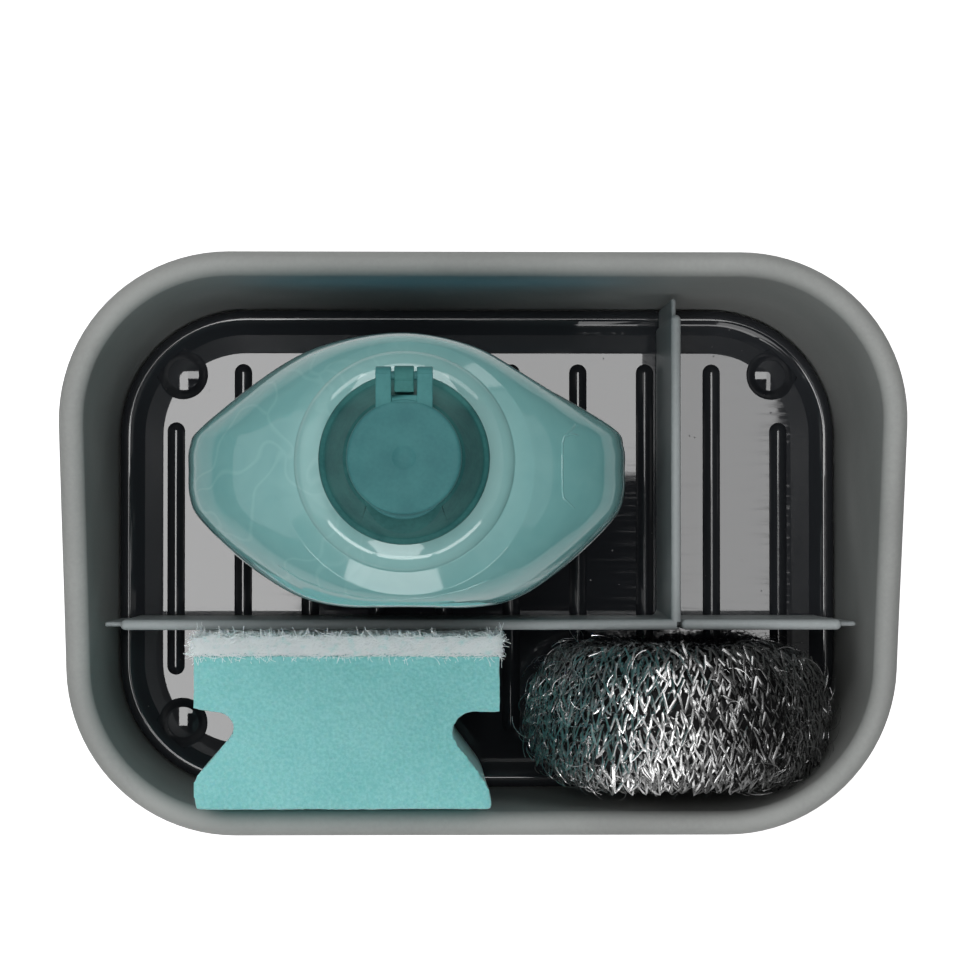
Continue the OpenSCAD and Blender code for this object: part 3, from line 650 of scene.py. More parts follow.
# %% Plates and fins
RIB_TOP, DIVIDER_TOP, FIN_TOP = 9.6, 60.0, 52.0
PANEL_Y, PANEL_T = -18.35, 2.5
CROSS_X, CROSS_T = 47.1, 2.4
FIN_T, FIN_LAP = 1.1, 1.2
PANEL_END, FIN_TIP = 87.3, 91.7
CROSS_END, CROSS_TIP = 56.8, 61.2
SIDE_START, HOOK = 48.45, (47.95, 49.7)


def plate(a, b, thick, top):
    """Upright plate with round ends and a rounded top edge."""
    half = thick / 2
    rings = [slot_ring(a, b, half - 0.25, RIB_TOP), slot_ring(a, b, half, RIB_TOP + 0.25)]
    rings += [slot_ring(a, b, max(0.04, half * math.cos(t)), top - half + half * math.sin(t)) for t in arc(9)]
    return draw_out("plate", rings)


def across(x0, x1, thick, top):
    """Plate in line with the long panel."""
    return plate((x0, PANEL_Y), (x1, PANEL_Y), thick, top)


corner_divider = across(-PANEL_END + PANEL_T / 2, CROSS_X - 0.05, PANEL_T, DIVIDER_TOP)
combine(corner_divider, "UNION",
        plate((CROSS_X, PANEL_Y), (CROSS_X, CROSS_END - CROSS_T / 2), CROSS_T, DIVIDER_TOP),
        across(-FIN_TIP + FIN_T / 2, -PANEL_END + FIN_LAP, FIN_T, FIN_TOP),
        plate((CROSS_X, CROSS_END - FIN_LAP), (CROSS_X, CROSS_TIP - FIN_T / 2), FIN_T, FIN_TOP))
side_divider = across(SIDE_START + PANEL_T / 2, PANEL_END - PANEL_T / 2, PANEL_T, DIVIDER_TOP)
combine(side_divider, "UNION", across(PANEL_END - FIN_LAP, FIN_TIP - FIN_T / 2, FIN_T, FIN_TOP),
        across(*HOOK, FIN_T, FIN_TOP))
print("dividers are", round(DIVIDER_TOP - RIB_TOP, 1), "mm high")


# %% Round the inner corner of the T and cut the groove for the short panel
def round_edges(piece, chosen, radius, segments):
    """Bevels the edges that the function chosen picks out."""
    pick(piece)
    bpy.ops.object.mode_set(mode="EDIT")
    bpy.ops.mesh.select_mode(type="EDGE")
    bpy.ops.mesh.select_all(action="DESELECT")
    shape = bmesh.from_edit_mesh(piece.data)
    for edge in shape.edges:
        edge.select = chosen(edge)
    print("edges to round on", piece.name, sum(e.select for e in shape.edges))
    bmesh.update_edit_mesh(piece.data)
    bpy.ops.mesh.bevel(offset=radius * MM, segments=segments)
    bpy.ops.object.mode_set(mode="OBJECT")


def in_corner(edge):
    inner = Vector((CROSS_X - CROSS_T / 2, PANEL_Y + PANEL_T / 2)) * MM
    low, high = (v.co for v in edge.verts)
    return abs(low.z - high.z) > 20 * MM and all((c.to_2d() - inner).length < 0.05 * MM for c in (low, high))


round_edges(corner_divider, in_corner, 1.6, 5)
corner_divider = settle(corner_divider, "corner_divider_moulding")
deselect()
bpy.ops.mesh.primitive_cube_add(size=1)
groove = bpy.context.object
groove.scale = Vector((2.1, 1.4, 60)) * MM
groove.location = Vector((48.3, PANEL_Y, 38)) * MM
combine(corner_divider, "DIFFERENCE", settle(groove, "groove"))
smooth(corner_divider, 35)
side_divider = smooth(settle(side_divider, "side_divider_moulding"), 35)

divider_grey = grey_plastic("divider_grey_satin", (164, 170, 171), 0.38)
divider_grey.put_on(corner_divider, side_divider)
stand_for(corner_divider, "corner_panel", "dividers", "corner_divider")
stand_for(side_divider, "side_panel", "dividers", "side_divider")

# %% [markdown]
# ## The bottle
#
# The bottle is blown from clear tinted plastic and filled with teal soap. Its plan has blunt ends,
# straight shoulders behind and a full belly in front, and it turns into an oval near the top, then into
# a circle at the neck. A subdivided cube could be pushed into that shape, but the shoulder's crease
# carries the brightest highlight, so each ring is worked out from the same plan and rows that the packed
# bottle follows, and drawn out in order.

# %% Plan and rows of the bottle
BOTTLE_X, BOTTLE_Y = -18.0, 17.3
NECK_X, NECK_Y = -18.5, 18.8
HALF_W, HALF_D = 49.5, 30.3
BODY_H = 160.0
NECK_Z = RIB_TOP + BODY_H
NECK_R, SHOULDER_R = 14.4, 23.48
# Each row: shares of the height, the half width and the half depth, and how far it is an oval
BODY_ROWS = np.array([
    [0, 0.8, 0.78, 0.5], [0.006, 0.85, 0.84, 0.5], [0.02, 0.89, 0.89, 0.5], [0.06, 0.92, 0.93, 0.4],
    [0.25, 0.95, 0.98, 0.2], [0.45, 0.98, 1, 0.05], [0.6, 1, 1, 0], [0.68, 1, 1, 0],
    [0.74, 0.992, 1, 0], [0.79, 0.975, 0.997, 0], [0.82, 0.955, 0.994, 0.05], [0.845, 0.925, 0.99, 0.12],
    [0.87, 0.87, 0.983, 0.3], [0.885, 0.82, 0.976, 0.45], [0.9, 0.76, 0.966, 0.6],
    [0.912, 0.7, 0.952, 0.72], [0.923, 0.635, 0.932, 0.86], [0.93, 0.585, 0.91, 0.94],
    [0.935, 0.55, 0.888, 0.97]])
# The plan at the widest, from the right end round by the back, in half widths and half depths
PLAN = np.array([
    [0.985, 0], [0.98, 0.18], [0.92, 0.335], [0.56, 0.665], [0.33, 0.875], [0, 0.99],
    [-0.34, 0.925], [-0.6, 0.735], [-0.92, 0.335], [-0.98, 0.18], [-0.985, 0], [-0.98, -0.18],
    [-0.935, -0.345], [-0.755, -0.635], [-0.52, -0.89], [-0.3, -0.985], [0, -0.99], [0.32, -0.99],
    [0.53, -0.9], [0.755, -0.64], [0.935, -0.345], [0.98, -0.18]])
# Collar round the neck: shares of the body's height, and of the way from the neck to the crease
COLLAR = np.array([(0.942, 1.0), (0.947, 0.95), (0.952, 0.86), (0.957, 0.72), (0.961, 0.55), (0.964, 0.38),
                   (0.968, 0.22), (0.976, 0.09)])
PLAN_STEPS = 8


def catmull(rows, place, closed=False):
    """Smooth value between rows, at a place counted in rows."""
    count = len(rows)
    i = int(place) if closed else min(int(place), count - 2)
    t = place - i
    near = [(k % count) if closed else min(max(k, 0), count - 1) for k in (i - 1, i, i + 1, i + 2)]
    a, b, c, d = (rows[k] for k in near)
    return 0.5 * (2 * b + (c - a) * t + (2 * a - 5 * b + 4 * c - d) * t * t + (3 * b - a - 3 * c + d) * t ** 3)


outline = [catmull(PLAN, i / PLAN_STEPS, closed=True) for i in range(PLAN_STEPS * len(PLAN))]


def body_ring(row, inset=0.0):
    z, w, d, oval = row
    ring = []
    for p in outline:
        q = p * (1 - oval) + p / np.linalg.norm(p) * oval
        ring.append((BOTTLE_X + (HALF_W * w - inset) * q[0], BOTTLE_Y + (HALF_D * d - inset) * q[1],
                     RIB_TOP + z * BODY_H))
    return ring


def neck_ring(r, z):
    return [(NECK_X + r * p[0] / np.linalg.norm(p), NECK_Y + r * p[1] / np.linalg.norm(p), z) for p in outline]


def collar_ring(share, inset=0.0):
    z, out = catmull(COLLAR, share)
    return neck_ring(NECK_R + (SHOULDER_R - NECK_R) * out - inset, RIB_TOP + z * BODY_H - inset)


print("bottle plan:", len(outline), "points round")

# %% Draw out the bottle, outside and inside in one closed wall
BOTTLE_T, MOUTH_R, MOUTH_Z = 1.2, 12.4, NECK_Z + 9.6


def inner_row(place, drop, least):
    """Row lowered by so many walls, at least so many walls above the base."""
    row = catmull(BODY_ROWS, place)
    row[0] = max(row[0] - drop * BOTTLE_T / BODY_H, least * BOTTLE_T / BODY_H)
    return row


outside = [body_ring(catmull(BODY_ROWS, k / 4)) for k in range(4 * (len(BODY_ROWS) - 1) + 1)]
crease, foot = np.array(outside[-1]), np.array(collar_ring(0))
outside += [[tuple(p) for p in crease + (foot - crease) * t] for t in (0.06, 0.16, 0.5, 0.84, 0.95)]
outside += [collar_ring(k / 4) for k in range(4 * (len(COLLAR) - 1) + 1)]
outside += [neck_ring(NECK_R + out, NECK_Z + up) for out, up in (
    (0.27, -0.6), (0, 0), (0, 1.8), (1.3, 2.15), (1.3, 2.5), (0, 3.2), (0, 9.4), (-0.2, 9.6))]
inside = [neck_ring(MOUTH_R, MOUTH_Z), neck_ring(MOUTH_R, NECK_Z - BOTTLE_T)]
inside += [collar_ring(k / 2, BOTTLE_T) for k in range(2 * (len(COLLAR) - 2), -1, -1)]
inside += [body_ring(inner_row(k / 2, 1, 1.5), BOTTLE_T) for k in range(2 * (len(BODY_ROWS) - 1), 3, -1)]
floor_row = BODY_ROWS[1].copy()
floor_row[0] = BOTTLE_T / BODY_H
inside.append(body_ring(floor_row, BOTTLE_T + 1.5))
bottle = draw_out("bottle_shell", outside + inside)
print("bottle:", len(outside), "rings outside,", len(inside), "inside")

# %% Raised lines: a panel's outline on the right shoulder, and a faint curve over the front
PANEL_LINE = [(18.6, 27.1), (15.7, 24.3), (15.25, 22.6), (15.2, 17.4), (15.25, 12.6), (15.6, 11.0), (18.1, 8.7)]
HOOK_LINE = [(15.8, 24.4), (17.2, 24.75), (18.9, 24.4)]
FRONT_LINE = [(-45.6, -3.2), (-41.0, -6.2), (-34.6, -8.7), (-27.4, -10.2), (-19.8, -10.7), (-12.4, -10.1),
              (-5.6, -8.5), (0.2, -6.2)]
BEAD_R, BEAD_SIDES = 0.32, 10


def around(centre, ahead, face, radius, angles):
    """Points round a centre, in the plane square to the way ahead."""
    side = ahead.cross(face).normalized()
    up = side.cross(ahead)
    return [tuple(centre + radius * (side * math.cos(a) + up * math.sin(a))) for a in angles]


def bead(name, line):
    """Thin bead along a line seen from above, laid on the bottle's surface."""
    spots = [(p[0] + (q[0] - p[0]) * t, p[1] + (q[1] - p[1]) * t)
             for p, q in zip(line, line[1:]) for t in (0, 0.25, 0.5, 0.75)] + [line[-1]]
    laid = []
    for x, y in spots:
        _, at, normal, _ = bottle.ray_cast(Vector((x * MM, y * MM, 0.3)), Vector((0, 0, -1)))
        laid.append((at / MM - normal * BEAD_R * 0.45, normal))
    rings = []
    for i, (at, normal) in enumerate(laid):
        ahead = (laid[min(i + 1, len(laid) - 1)][0] - laid[max(i - 1, 0)][0]).normalized()
        r = BEAD_R * (0.45 if i in (0, len(laid) - 1) else 1)
        rings.append(around(at, ahead, normal, r, [2 * math.pi * k / BEAD_SIDES for k in range(BEAD_SIDES)]))
    return draw_out(name, rings)


for name, line in (("panel_bead", PANEL_LINE), ("hook_bead", HOOK_LINE), ("front_bead", FRONT_LINE)):
    combine(bottle, "UNION", bead(name, line))
    print(name, "laid on the bottle")
smooth(bottle, 60)

# %% The soap inside
SOAP_GAP, SOAP_LEVEL, LAST_ROW = 0.2, 0.7375, 0.735
rows = [inner_row(k / 2, 1.35, 1.6) for k in range(2, 2 * (len(BODY_ROWS) - 1) + 1)]
soap_rows = [row for row in rows if row[0] < LAST_ROW]
soap_rows.append(catmull(BODY_ROWS, 7.9))
soap_rows[-1][0] = SOAP_LEVEL
soap = smooth(draw_out("soap_inside", [body_ring(row, BOTTLE_T + SOAP_GAP) for row in soap_rows]), 50)
print("soap stands", round(SOAP_LEVEL * BODY_H), "mm high")

# %% [markdown]
# Tinted plastic over coloured soap looks deep because light goes in, scatters in the soap and comes back
# through the wall. The wall is part clear and part milky: it lets some light through, keeps a glossy
# outside and carries fine drawn-out ripples. The shoulder is the most polished: its coat is at full
# weight, and thins out down the sides. The wall's colour carries painted light: it is painted paler
# towards the shoulder, with a painted highlight round the collar and painted caustic lines on its left
# end. The soap is a dense teal with slow swirls and painted caustic lines, the bright curved lines that
# the wall's ripples would throw on it.

# %% Finish of the bottle and the soap
clear = Finish("bottle_tinted_gloss", IOR=1.46, Transmission_Weight=0.26, Specular_IOR_Level=0.5,
               Coat_Roughness=0.04, Coat_IOR=1.5)
w = clear.wire
rippled = w.noise(9, 2, distortion=1.2)
# Painted light: the wall's colour is painted paler towards the shoulder, where more light falls.
height = w.axis("Z").fade(0.118, 0.168)
# Painted caustics: bright curved lines painted into the wall's colour, only on the left end.
bent = w.drifted(w.stretched(1, 1, 0.25), 1000 / 70, 0.03)
painted_caustics = 1 - w.cells(17, "DISTANCE_TO_EDGE", where=bent).fade(0.0, 0.05)
painted_caustics = painted_caustics * (1 - w.axis("X").fade(-0.045, -0.005)) * 0.13
# Painted highlight: a pale band painted into the colour round the collar.
collar = w.axis("Z").fade(0.1585, 0.1625)
clear.feed("Base Color", (height * 0.32 + 0.2 * rippled + painted_caustics + 0.42 * collar).mix(
    colour(92, 161, 162), colour(172, 222, 220)))
clear.feed("Coat Weight", 0.15 + 0.85 * w.axis("Z").fade(0.143, 0.153))
clear.feed("Roughness", 0.045 + 0.05 * w.noise(20, 2))
clear.relief(rippled * 0.8 + w.noise(3.2, 2) * 0.2, 0.12, 0.35)
clear.put_on(bottle)

swirled = Finish("soap_teal", IOR=1.36, Subsurface_Weight=0.35, Subsurface_Scale=0.01, Roughness=0.18,
                 Subsurface_Radius=(0.4, 1.0, 0.9))
w = swirled.wire
swirl = w.noise(17, 2).fade(0.35, 0.7)
# Painted caustics: bright curved lines in the soap's colour stand for light thrown by the wall.
painted_soap_caustics = 1 - w.cells(15, "DISTANCE_TO_EDGE", where=w.drifted(w.place(), 1000 / 60, 0.02)).fade(0.0, 0.055)
swirled.feed("Base Color", (swirl * 0.55 + painted_soap_caustics * 0.45).mix(colour(86, 136, 132), colour(152, 196, 190)))
swirled.put_on(soap)
stand_for(bottle, "soap_bottle", "bottle", "bottle")
stand_for(soap, "soap_bottle", "soap", "soap_fill")

seal_finish = Finish("seal_white", Roughness=0.6)
w = seal_finish.wire
seal_finish.feed("Base Color", w.noise(3, 2).mix(colour(218, 220, 216), colour(232, 233, 230)))
seal_finish.relief(w.noise(0.6, 2), 0.03)
seal_finish.put_on(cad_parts["neck_seal"])

# %% [markdown]
# ## The flip cap
#
# The cap is a satin teal moulding: a straight skirt, a steep cone, a flat seat with the spout, and a
# sloping facet at the front for the thumb. It is turned work, so its outline is drawn out as circles. The
# facet is cut with a tilted block, and the new edges are rounded by a bevel, because a moulded edge
# always has a small radius that catches the light.

# %% Turn the cap
CAP_R, SKIRT_Z, SKIRT_TOP, SEAT_Z, SEAT_R = 17.7, 168.6, 182.6, 192.6, 12.4
LID_TOP, HINGE_Y, HINGE_Z = 196.15, 16.6, 193.95


def turn_piece(name, outline, steps=96, front=0.0):
    """Piece turned from rows of radius and height, on the neck's axis or so far in front of it."""
    return draw_out(name, [circle_ring(NECK_X, NECK_Y - front, r, z, steps) for r, z in outline])


cap_outline = [(0.4, 180.2), (12.4, 180.2), (16.1, 180.2), (16.1, SKIRT_Z + 0.3), (16.4, SKIRT_Z), (17.4, SKIRT_Z),
               (CAP_R, SKIRT_Z + 0.3), (CAP_R, SKIRT_TOP - 1.0), (CAP_R - 0.08, SKIRT_TOP - 0.55),
               (CAP_R - 0.3, SKIRT_TOP - 0.22), (CAP_R - 0.62, SKIRT_TOP - 0.04), (CAP_R - 1.0, SKIRT_TOP + 0.02),
               (CAP_R - 1.25, SKIRT_TOP + 0.22), (CAP_R - 1.45, SKIRT_TOP + 0.6),
               (SEAT_R + 0.18, SEAT_Z - 0.75), (SEAT_R - 0.05, SEAT_Z - 0.3), (SEAT_R - 0.4, SEAT_Z - 0.06),
               (SEAT_R - 0.8, SEAT_Z), (3.2, SEAT_Z), (2.9, SEAT_Z + 0.2), (2.78, SEAT_Z + 1.3),
               (2.6, SEAT_Z + 1.5), (1.75, SEAT_Z + 1.5), (1.5, SEAT_Z + 1.3), (1.5, SEAT_Z - 3.0)]
cap = turn_piece("cap_moulding", cap_outline)
print("cap outline:", len(cap_outline), "points")


# %% Blocks, bars and the wedge for the thumb facet
def block(x0, x1, y0, y1, z0, z1, edge=0.0, segments=3):
    """Block between two corners, given from the neck's axis, with rounded edges."""
    deselect()
    bpy.ops.mesh.primitive_cube_add(size=1, location=Vector((
        NECK_X + (x0 + x1) / 2, NECK_Y + (y0 + y1) / 2, (z0 + z1) / 2)) * MM)
    made = bpy.context.object
    made.scale = Vector((x1 - x0, y1 - y0, z1 - z0)) * MM
    settle(made, "block")
    if edge:
        bpy.ops.object.mode_set(mode="EDIT")
        bpy.ops.mesh.select_all(action="SELECT")
        bpy.ops.mesh.bevel(offset=edge * MM, segments=segments)
        bpy.ops.object.mode_set(mode="OBJECT")
    return made


def bar_across(x0, x1, y, z, r, steps=40):
    """Round bar along X, given from the neck's axis."""
    def ring(x, r):
        return [(NECK_X + x, NECK_Y + y + r * math.cos(2 * math.pi * i / steps),
                 z + r * math.sin(2 * math.pi * i / steps)) for i in range(steps)]
    return draw_out("bar", [ring(x0, r - 0.2), ring(x0 + 0.2, r), ring(x1 - 0.2, r), ring(x1, r - 0.2)])


THUMB_START, THUMB_SLOPE = 9.4, math.radians(51)
down = Vector((0, -math.cos(THUMB_SLOPE), -math.sin(THUMB_SLOPE)))
out = Vector((0, -math.sin(THUMB_SLOPE), math.cos(THUMB_SLOPE)))
facet_top = Vector((NECK_X, NECK_Y - THUMB_START, SEAT_Z))
wedge = draw_out("wedge", [[tuple(facet_top + Vector((x, 0, 0)) + p)
                            for p in (down * 0, down * 20, down * 20 + out * 18, out * 18)] for x in (-18, 18)])

# %% Cut the thumb facet, add the hinge knuckle and round the facet's edges
PIN_R, PIN_HOLE_R, KNUCKLE_R = 0.9, 0.96, 2.0
combine(cap, "DIFFERENCE", wedge)
knuckle = block(-2, 2, 13.2, 17.2, SEAT_Z - 4.5, HINGE_Z + 1.6, 0.3)
combine(knuckle, "UNION", bar_across(-2, 2, HINGE_Y, HINGE_Z, KNUCKLE_R))
combine(knuckle, "DIFFERENCE", bar_across(-3, 3, HINGE_Y, HINGE_Z, PIN_HOLE_R))
combine(cap, "UNION", knuckle)


def round_facet(edge):
    on_facet = [f.normal.dot(out) > 0.999 for f in edge.link_faces]
    return len(on_facet) == 2 and on_facet[0] != on_facet[1]


round_edges(cap, round_facet, 0.18, 2)
cap = smooth(settle(cap, "cap_moulding"), 32)

# %% [markdown]
# ## The lid
#
# The lid is a shallow disc with a dished top and a small moulding mark in its middle. Two arms reach back
# to the hinge, and a crescent lip at the front hangs over the thumb facet, where a thumb pushes it up.
# The disc is turned, its back is planed off to a straight edge, and the arms, the hinge pin and the
# lip, which is a smaller disc set forward, are united with it.

# %% Turn the lid and add its arms
LID_Z = SEAT_Z + 0.15
lid_outline = [(0.4, LID_Z + 1.9), (10.3, LID_Z + 1.9), (10.5, LID_Z + 1.7), (10.5, LID_Z + 0.15), (10.65, LID_Z),
               (11.5, LID_Z), (11.7, LID_Z + 0.2), (11.7, LID_TOP - 0.85), (11.62, LID_TOP - 0.45),
               (11.4, LID_TOP - 0.16), (11.05, LID_TOP - 0.02), (10.6, LID_TOP), (9.9, LID_TOP - 0.03),
               (9.3, LID_TOP - 0.12), (8.4, LID_TOP - 0.24), (6.5, LID_TOP - 0.33), (4.2, LID_TOP - 0.37),
               (2.55, LID_TOP - 0.38), (2.3, LID_TOP - 0.42), (2.1, LID_TOP - 0.54), (0.5, LID_TOP - 0.6)]
lid = turn_piece("lid_moulding", lid_outline)
combine(lid, "DIFFERENCE", block(-9, 9, 10.9, 14, LID_TOP - 0.32, LID_TOP + 1))
combine(lid, "UNION", turn_piece("plug", (
    (0.7, SEAT_Z + 0.72), (1.0, SEAT_Z + 0.75), (1.2, SEAT_Z + 1.2), (1.25, LID_Z + 2.1)), 32))
combine(lid, "UNION", block(-3.4, 3.4, 8, 12.6, LID_Z + 0.8, LID_TOP - 0.55, 0.2, 2))
for inner, outer in ((-5.8, -2.6), (2.6, 5.8)):
    arm = block(inner, outer, 6.5, HINGE_Y + 0.4, HINGE_Z - 0.45, LID_TOP - 0.3, 0.22)
    combine(arm, "UNION", bar_across(inner, outer, HINGE_Y, HINGE_Z, 1.85))
    combine(lid, "UNION", arm)
combine(lid, "UNION", bar_across(-4, 4, HINGE_Y, HINGE_Z, PIN_R))
combine(lid, "UNION", turn_piece("lip", (
    (9.2, LID_TOP - 2.4), (9.48, LID_TOP - 2.15), (9.48, LID_TOP - 1.4), (9.2, LID_TOP - 1.2)), front=3.02))
lid = smooth(settle(lid, "lid_moulding"), 32)
print("lid is", round(LID_TOP - LID_Z, 2), "mm thick")

# %% [markdown]
# The cap and lid are the same satin plastic, a little finer and deeper than the tub's. Its grain is
# almost gone, and soft clouds from the flow of the melt run through it. The lid has the higher gloss. The
# cap is painted darker than the lid, painted shade for its steep cone. Both are painted paler at the back,
# painted light for the light that shows through the thin arms and knuckle.

# %% Finish of the cap and the lid
def satin_teal(name, dark, light, gloss):
    made = Finish(name, IOR=1.48, Specular_IOR_Level=gloss)
    w = made.wire
    cloud = (w.noise(7, 2) * 0.7 + w.noise(0.8, 2) * 0.3).fade(0.3, 0.7)
    # Painted light: the colour turns paler at the back, for light showing through the thin parts.
    made.feed("Base Color", (cloud * 0.5 + 0.5 * w.axis("Y").fade(0.0285, 0.031)).mix(dark, light))
    made.feed("Roughness", 0.46 + 0.12 * w.noise(3, 3))
    made.relief(w.noise(0.4, 2), 0.02, 0.5)
    return made


# Painted shade: the cap's colours are darker than the lid's, for the shade on its steep cone.
satin_teal("cap_teal_satin", colour(36, 86, 86), colour(62, 120, 117), 0.14).put_on(cap)
satin_teal("lid_teal_satin", colour(52, 106, 109), colour(68, 128, 128), 0.2).put_on(lid)
stand_for(cap, "soap_bottle", "cap", "cap_base")
stand_for(lid, "lid", "lid", "flip_lid")

# %% [markdown]
# ## The sponge
#
# The sponge is cut foam with a finger grip in each side, and a scouring layer glued to its back. Cut foam
# has no smooth face anywhere: open cells break its surface and its edges crumble. The outline is drawn
# upwards as a block, remeshed so that its skin is even, and then the skin's points move in and out with
# noise: broad lumps, small torn cells and a fine grain.

# %% Outline and body of the foam
FOAM_BACK, FOAM_TOP = -24.2, 99.6
FOAM_OUTLINE = [(-67.3, FOAM_BACK), (-67.35, -30.5), (-67.3, -36.9), (-65.6, -37.25), (-62.4, -37.5), (-59.9, -38.1),
                (-58.5, -39.3), (-58.1, -40.9), (-58.3, -42.2), (-59.1, -43.3), (-61.4, -46.0), (-63.9, -48.9),
                (-66.3, -51.7), (-67.2, -53.4), (-67.3, -55.6), (-67.0, -58.4), (-66.6, -59.9), (-66.0, -60.1),
                (1.0, -60.1), (1.6, -59.9), (1.7, -58.2), (1.2, -56.0), (0.5, -54.0), (-0.9, -51.9), (-3.2, -48.8),
                (-5.3, -46.1), (-6.7, -44.0), (-7.2, -42.6), (-7.2, -41.2), (-6.5, -39.6), (-5.2, -38.3),
                (-3.2, -37.6), (-0.2, -37.7), (3.3, -37.9), (3.5, -36.9), (3.5, -30.5), (3.4, FOAM_BACK)]


def along_outline(points, step):
    """Evenly spaced points round a closed outline."""
    even = []
    for a, b in zip(points, points[1:] + points[:1]):
        parts = max(1, round(math.dist(a, b) / step))
        even += [(a[0] + (b[0] - a[0]) * i / parts, a[1] + (b[1] - a[1]) * i / parts) for i in range(parts)]
    return even


def upright(name, outline, bottom, top):
    return draw_out(name, [[(x, y, z) for x, y in outline] for z in (bottom, top)])


def fray(piece, depth_of, seed):
    """Moves every point along its normal by the given function of its place, in millimetres."""
    count = len(piece.data.vertices)
    normals = np.empty(count * 3)
    places = np.empty(count * 3)
    piece.data.vertices.foreach_get("normal", normals)
    piece.data.vertices.foreach_get("co", places)
    places, normals = places.reshape(-1, 3), normals.reshape(-1, 3)
    shift = Vector((seed * 7.3, seed * 3.1, seed * 5.7))
    moved = np.array([depth_of(Vector(p) / MM, shift) for p in places])
    piece.data.vertices.foreach_set("co", (places + normals * moved[:, None] * MM).ravel())
    piece.data.update()
    return piece


foam = upright("sponge_foam_cut", along_outline(FOAM_OUTLINE, 2.0), RIB_TOP + 0.05, FOAM_TOP)
modify(foam, "REMESH", mode="VOXEL", voxel_size=0.85 * MM, use_smooth_shade=True)


def foam_depth(p, shift):
    broad = 0.175 * noise.noise(p / 14 + shift)
    torn = noise.noise(p / 1.9 + shift * 2)
    pit = -1.1 * max(0, torn - 0.32)
    fine = 0.1 * noise.noise(p / 0.9 + shift)
    return broad - 0.25 + pit + fine


fray(foam, foam_depth, 1)
smooth(foam, 60)
print("foam skin has", len(foam.data.vertices), "points")

# %% [markdown]
# Foam is matt and a little translucent, so its shadows stay coloured. Its cells show as fine darker
# specks with pale rims, about half a millimetre across, and the whole block fades slightly where it is
# compressed.

# %% Finish of the foam
cut_foam = Finish("foam_turquoise", Roughness=0.95, Specular_IOR_Level=0.15, Sheen_Weight=0.25, Sheen_Roughness=0.6,
                  Subsurface_Weight=0.2, Subsurface_Scale=0.004)
w = cut_foam.wire
open_cells = w.cells(1.0)
broad = w.noise(19, 2)
speck = w.noise(0.8, 3, 0.7)
cut_foam.feed("Base Color", (broad.fade(0.3, 0.7) * 0.35 + speck.fade(0.35, 0.7) * 0.65).mix(
    colour(123, 197, 196), colour(152, 216, 216)))
cut_foam.relief(open_cells * 0.6 + speck * 0.4, 0.35, 0.8)
cut_foam.put_on(foam)
stand_for(foam, "sponge", "foam", "sponge_foam")

# %% [markdown]
# ## The scouring layer
#
# The scouring layer is a felt of stiff crinkled nylon fibres. Its bulk is a rough white slab. What makes
# it read as fibre is its outline, so one crinkled fibre is modelled, a few variants of it, and thousands
# of copies are strewn over the slab's top, back and ends, lying mostly in its plane.

# %% Strew copies of small models
def crinkled(seed, length, radius, wave, steps=7, turns=0.0):
    """One fibre: a three-sided thread drawn along a bent line. With turns it curls round."""
    dice = random.Random(seed)
    phase = [dice.uniform(0, 6.28) for _ in range(4)]
    rings = []
    for i in range(steps + 1):
        t = i / steps
        if turns:
            a = 2 * math.pi * turns * t + phase[0]
            r = length / (2 * math.pi * turns)
            centre = Vector((r * math.cos(a), r * math.sin(a), wave * math.sin(phase[1] + 5 * t)))
            ahead = Vector((-math.sin(a), math.cos(a), 0))
        else:
            centre = Vector((length * (t - 0.5), wave * math.sin(phase[0] + 5 * t),
                             wave * math.cos(phase[1] + 4 * t)))
            ahead = Vector((1, 0, 0))
        rings.append(around(centre, ahead, Vector((0, 0, 1)), radius, (0.5, 2.6, 4.7)))
    return draw_out("thread", rings)


def strew(name, models, places):
    """Copies small models into one mesh: each place is a model's number and a matrix in millimetres."""
    drawn = []
    for model in models:
        drawn.append(([v.co / MM for v in model.data.vertices], [tuple(p.vertices) for p in model.data.polygons]))
    points, faces = [], []
    for which, matrix in places:
        first = len(points)
        local, sides = drawn[which]
        points += [tuple((matrix @ p) * MM) for p in local]
        faces += [tuple(first + v for v in side) for side in sides]
    mesh = bpy.data.meshes.new(name)
    mesh.from_pydata(points, [], faces)
    piece = bpy.data.objects.new(name, mesh)
    bpy.context.collection.objects.link(piece)
    for model in models:
        bpy.data.objects.remove(model)
    return smooth(piece, 70)


def turned(place, x_axis, up, size=1.0):
    """Matrix that lays a model's x along one direction and its z along another."""
    z = Vector(up).normalized()
    x = Vector(x_axis)
    x = (x - z * x.dot(z)).normalized()
    y = z.cross(x)
    turn = Matrix((x, y, z)).transposed().to_4x4()
    return Matrix.Translation(Vector(place)) @ turn @ Matrix.Scale(size, 4)


# %% Slab and fibres of the scouring layer
PAD_X, PAD_Y, PAD_TOP = (-67.2, 3.4), (-24.15, -20.0), FOAM_TOP - 0.3
pad_outline = [(PAD_X[0], PAD_Y[0]), (PAD_X[1], PAD_Y[0]), (PAD_X[1], PAD_Y[1]), (PAD_X[0], PAD_Y[1])]
pad = upright("scour_pad_felt", along_outline(pad_outline, 2.0), RIB_TOP + 0.05, PAD_TOP)
modify(pad, "REMESH", mode="VOXEL", voxel_size=0.8 * MM, use_smooth_shade=True)
fray(pad, lambda p, shift: -0.35 + 0.45 * noise.noise(p / 2.6 + shift) + 0.25 * noise.noise(p / 1.1 + shift), 2)
smooth(pad, 60)

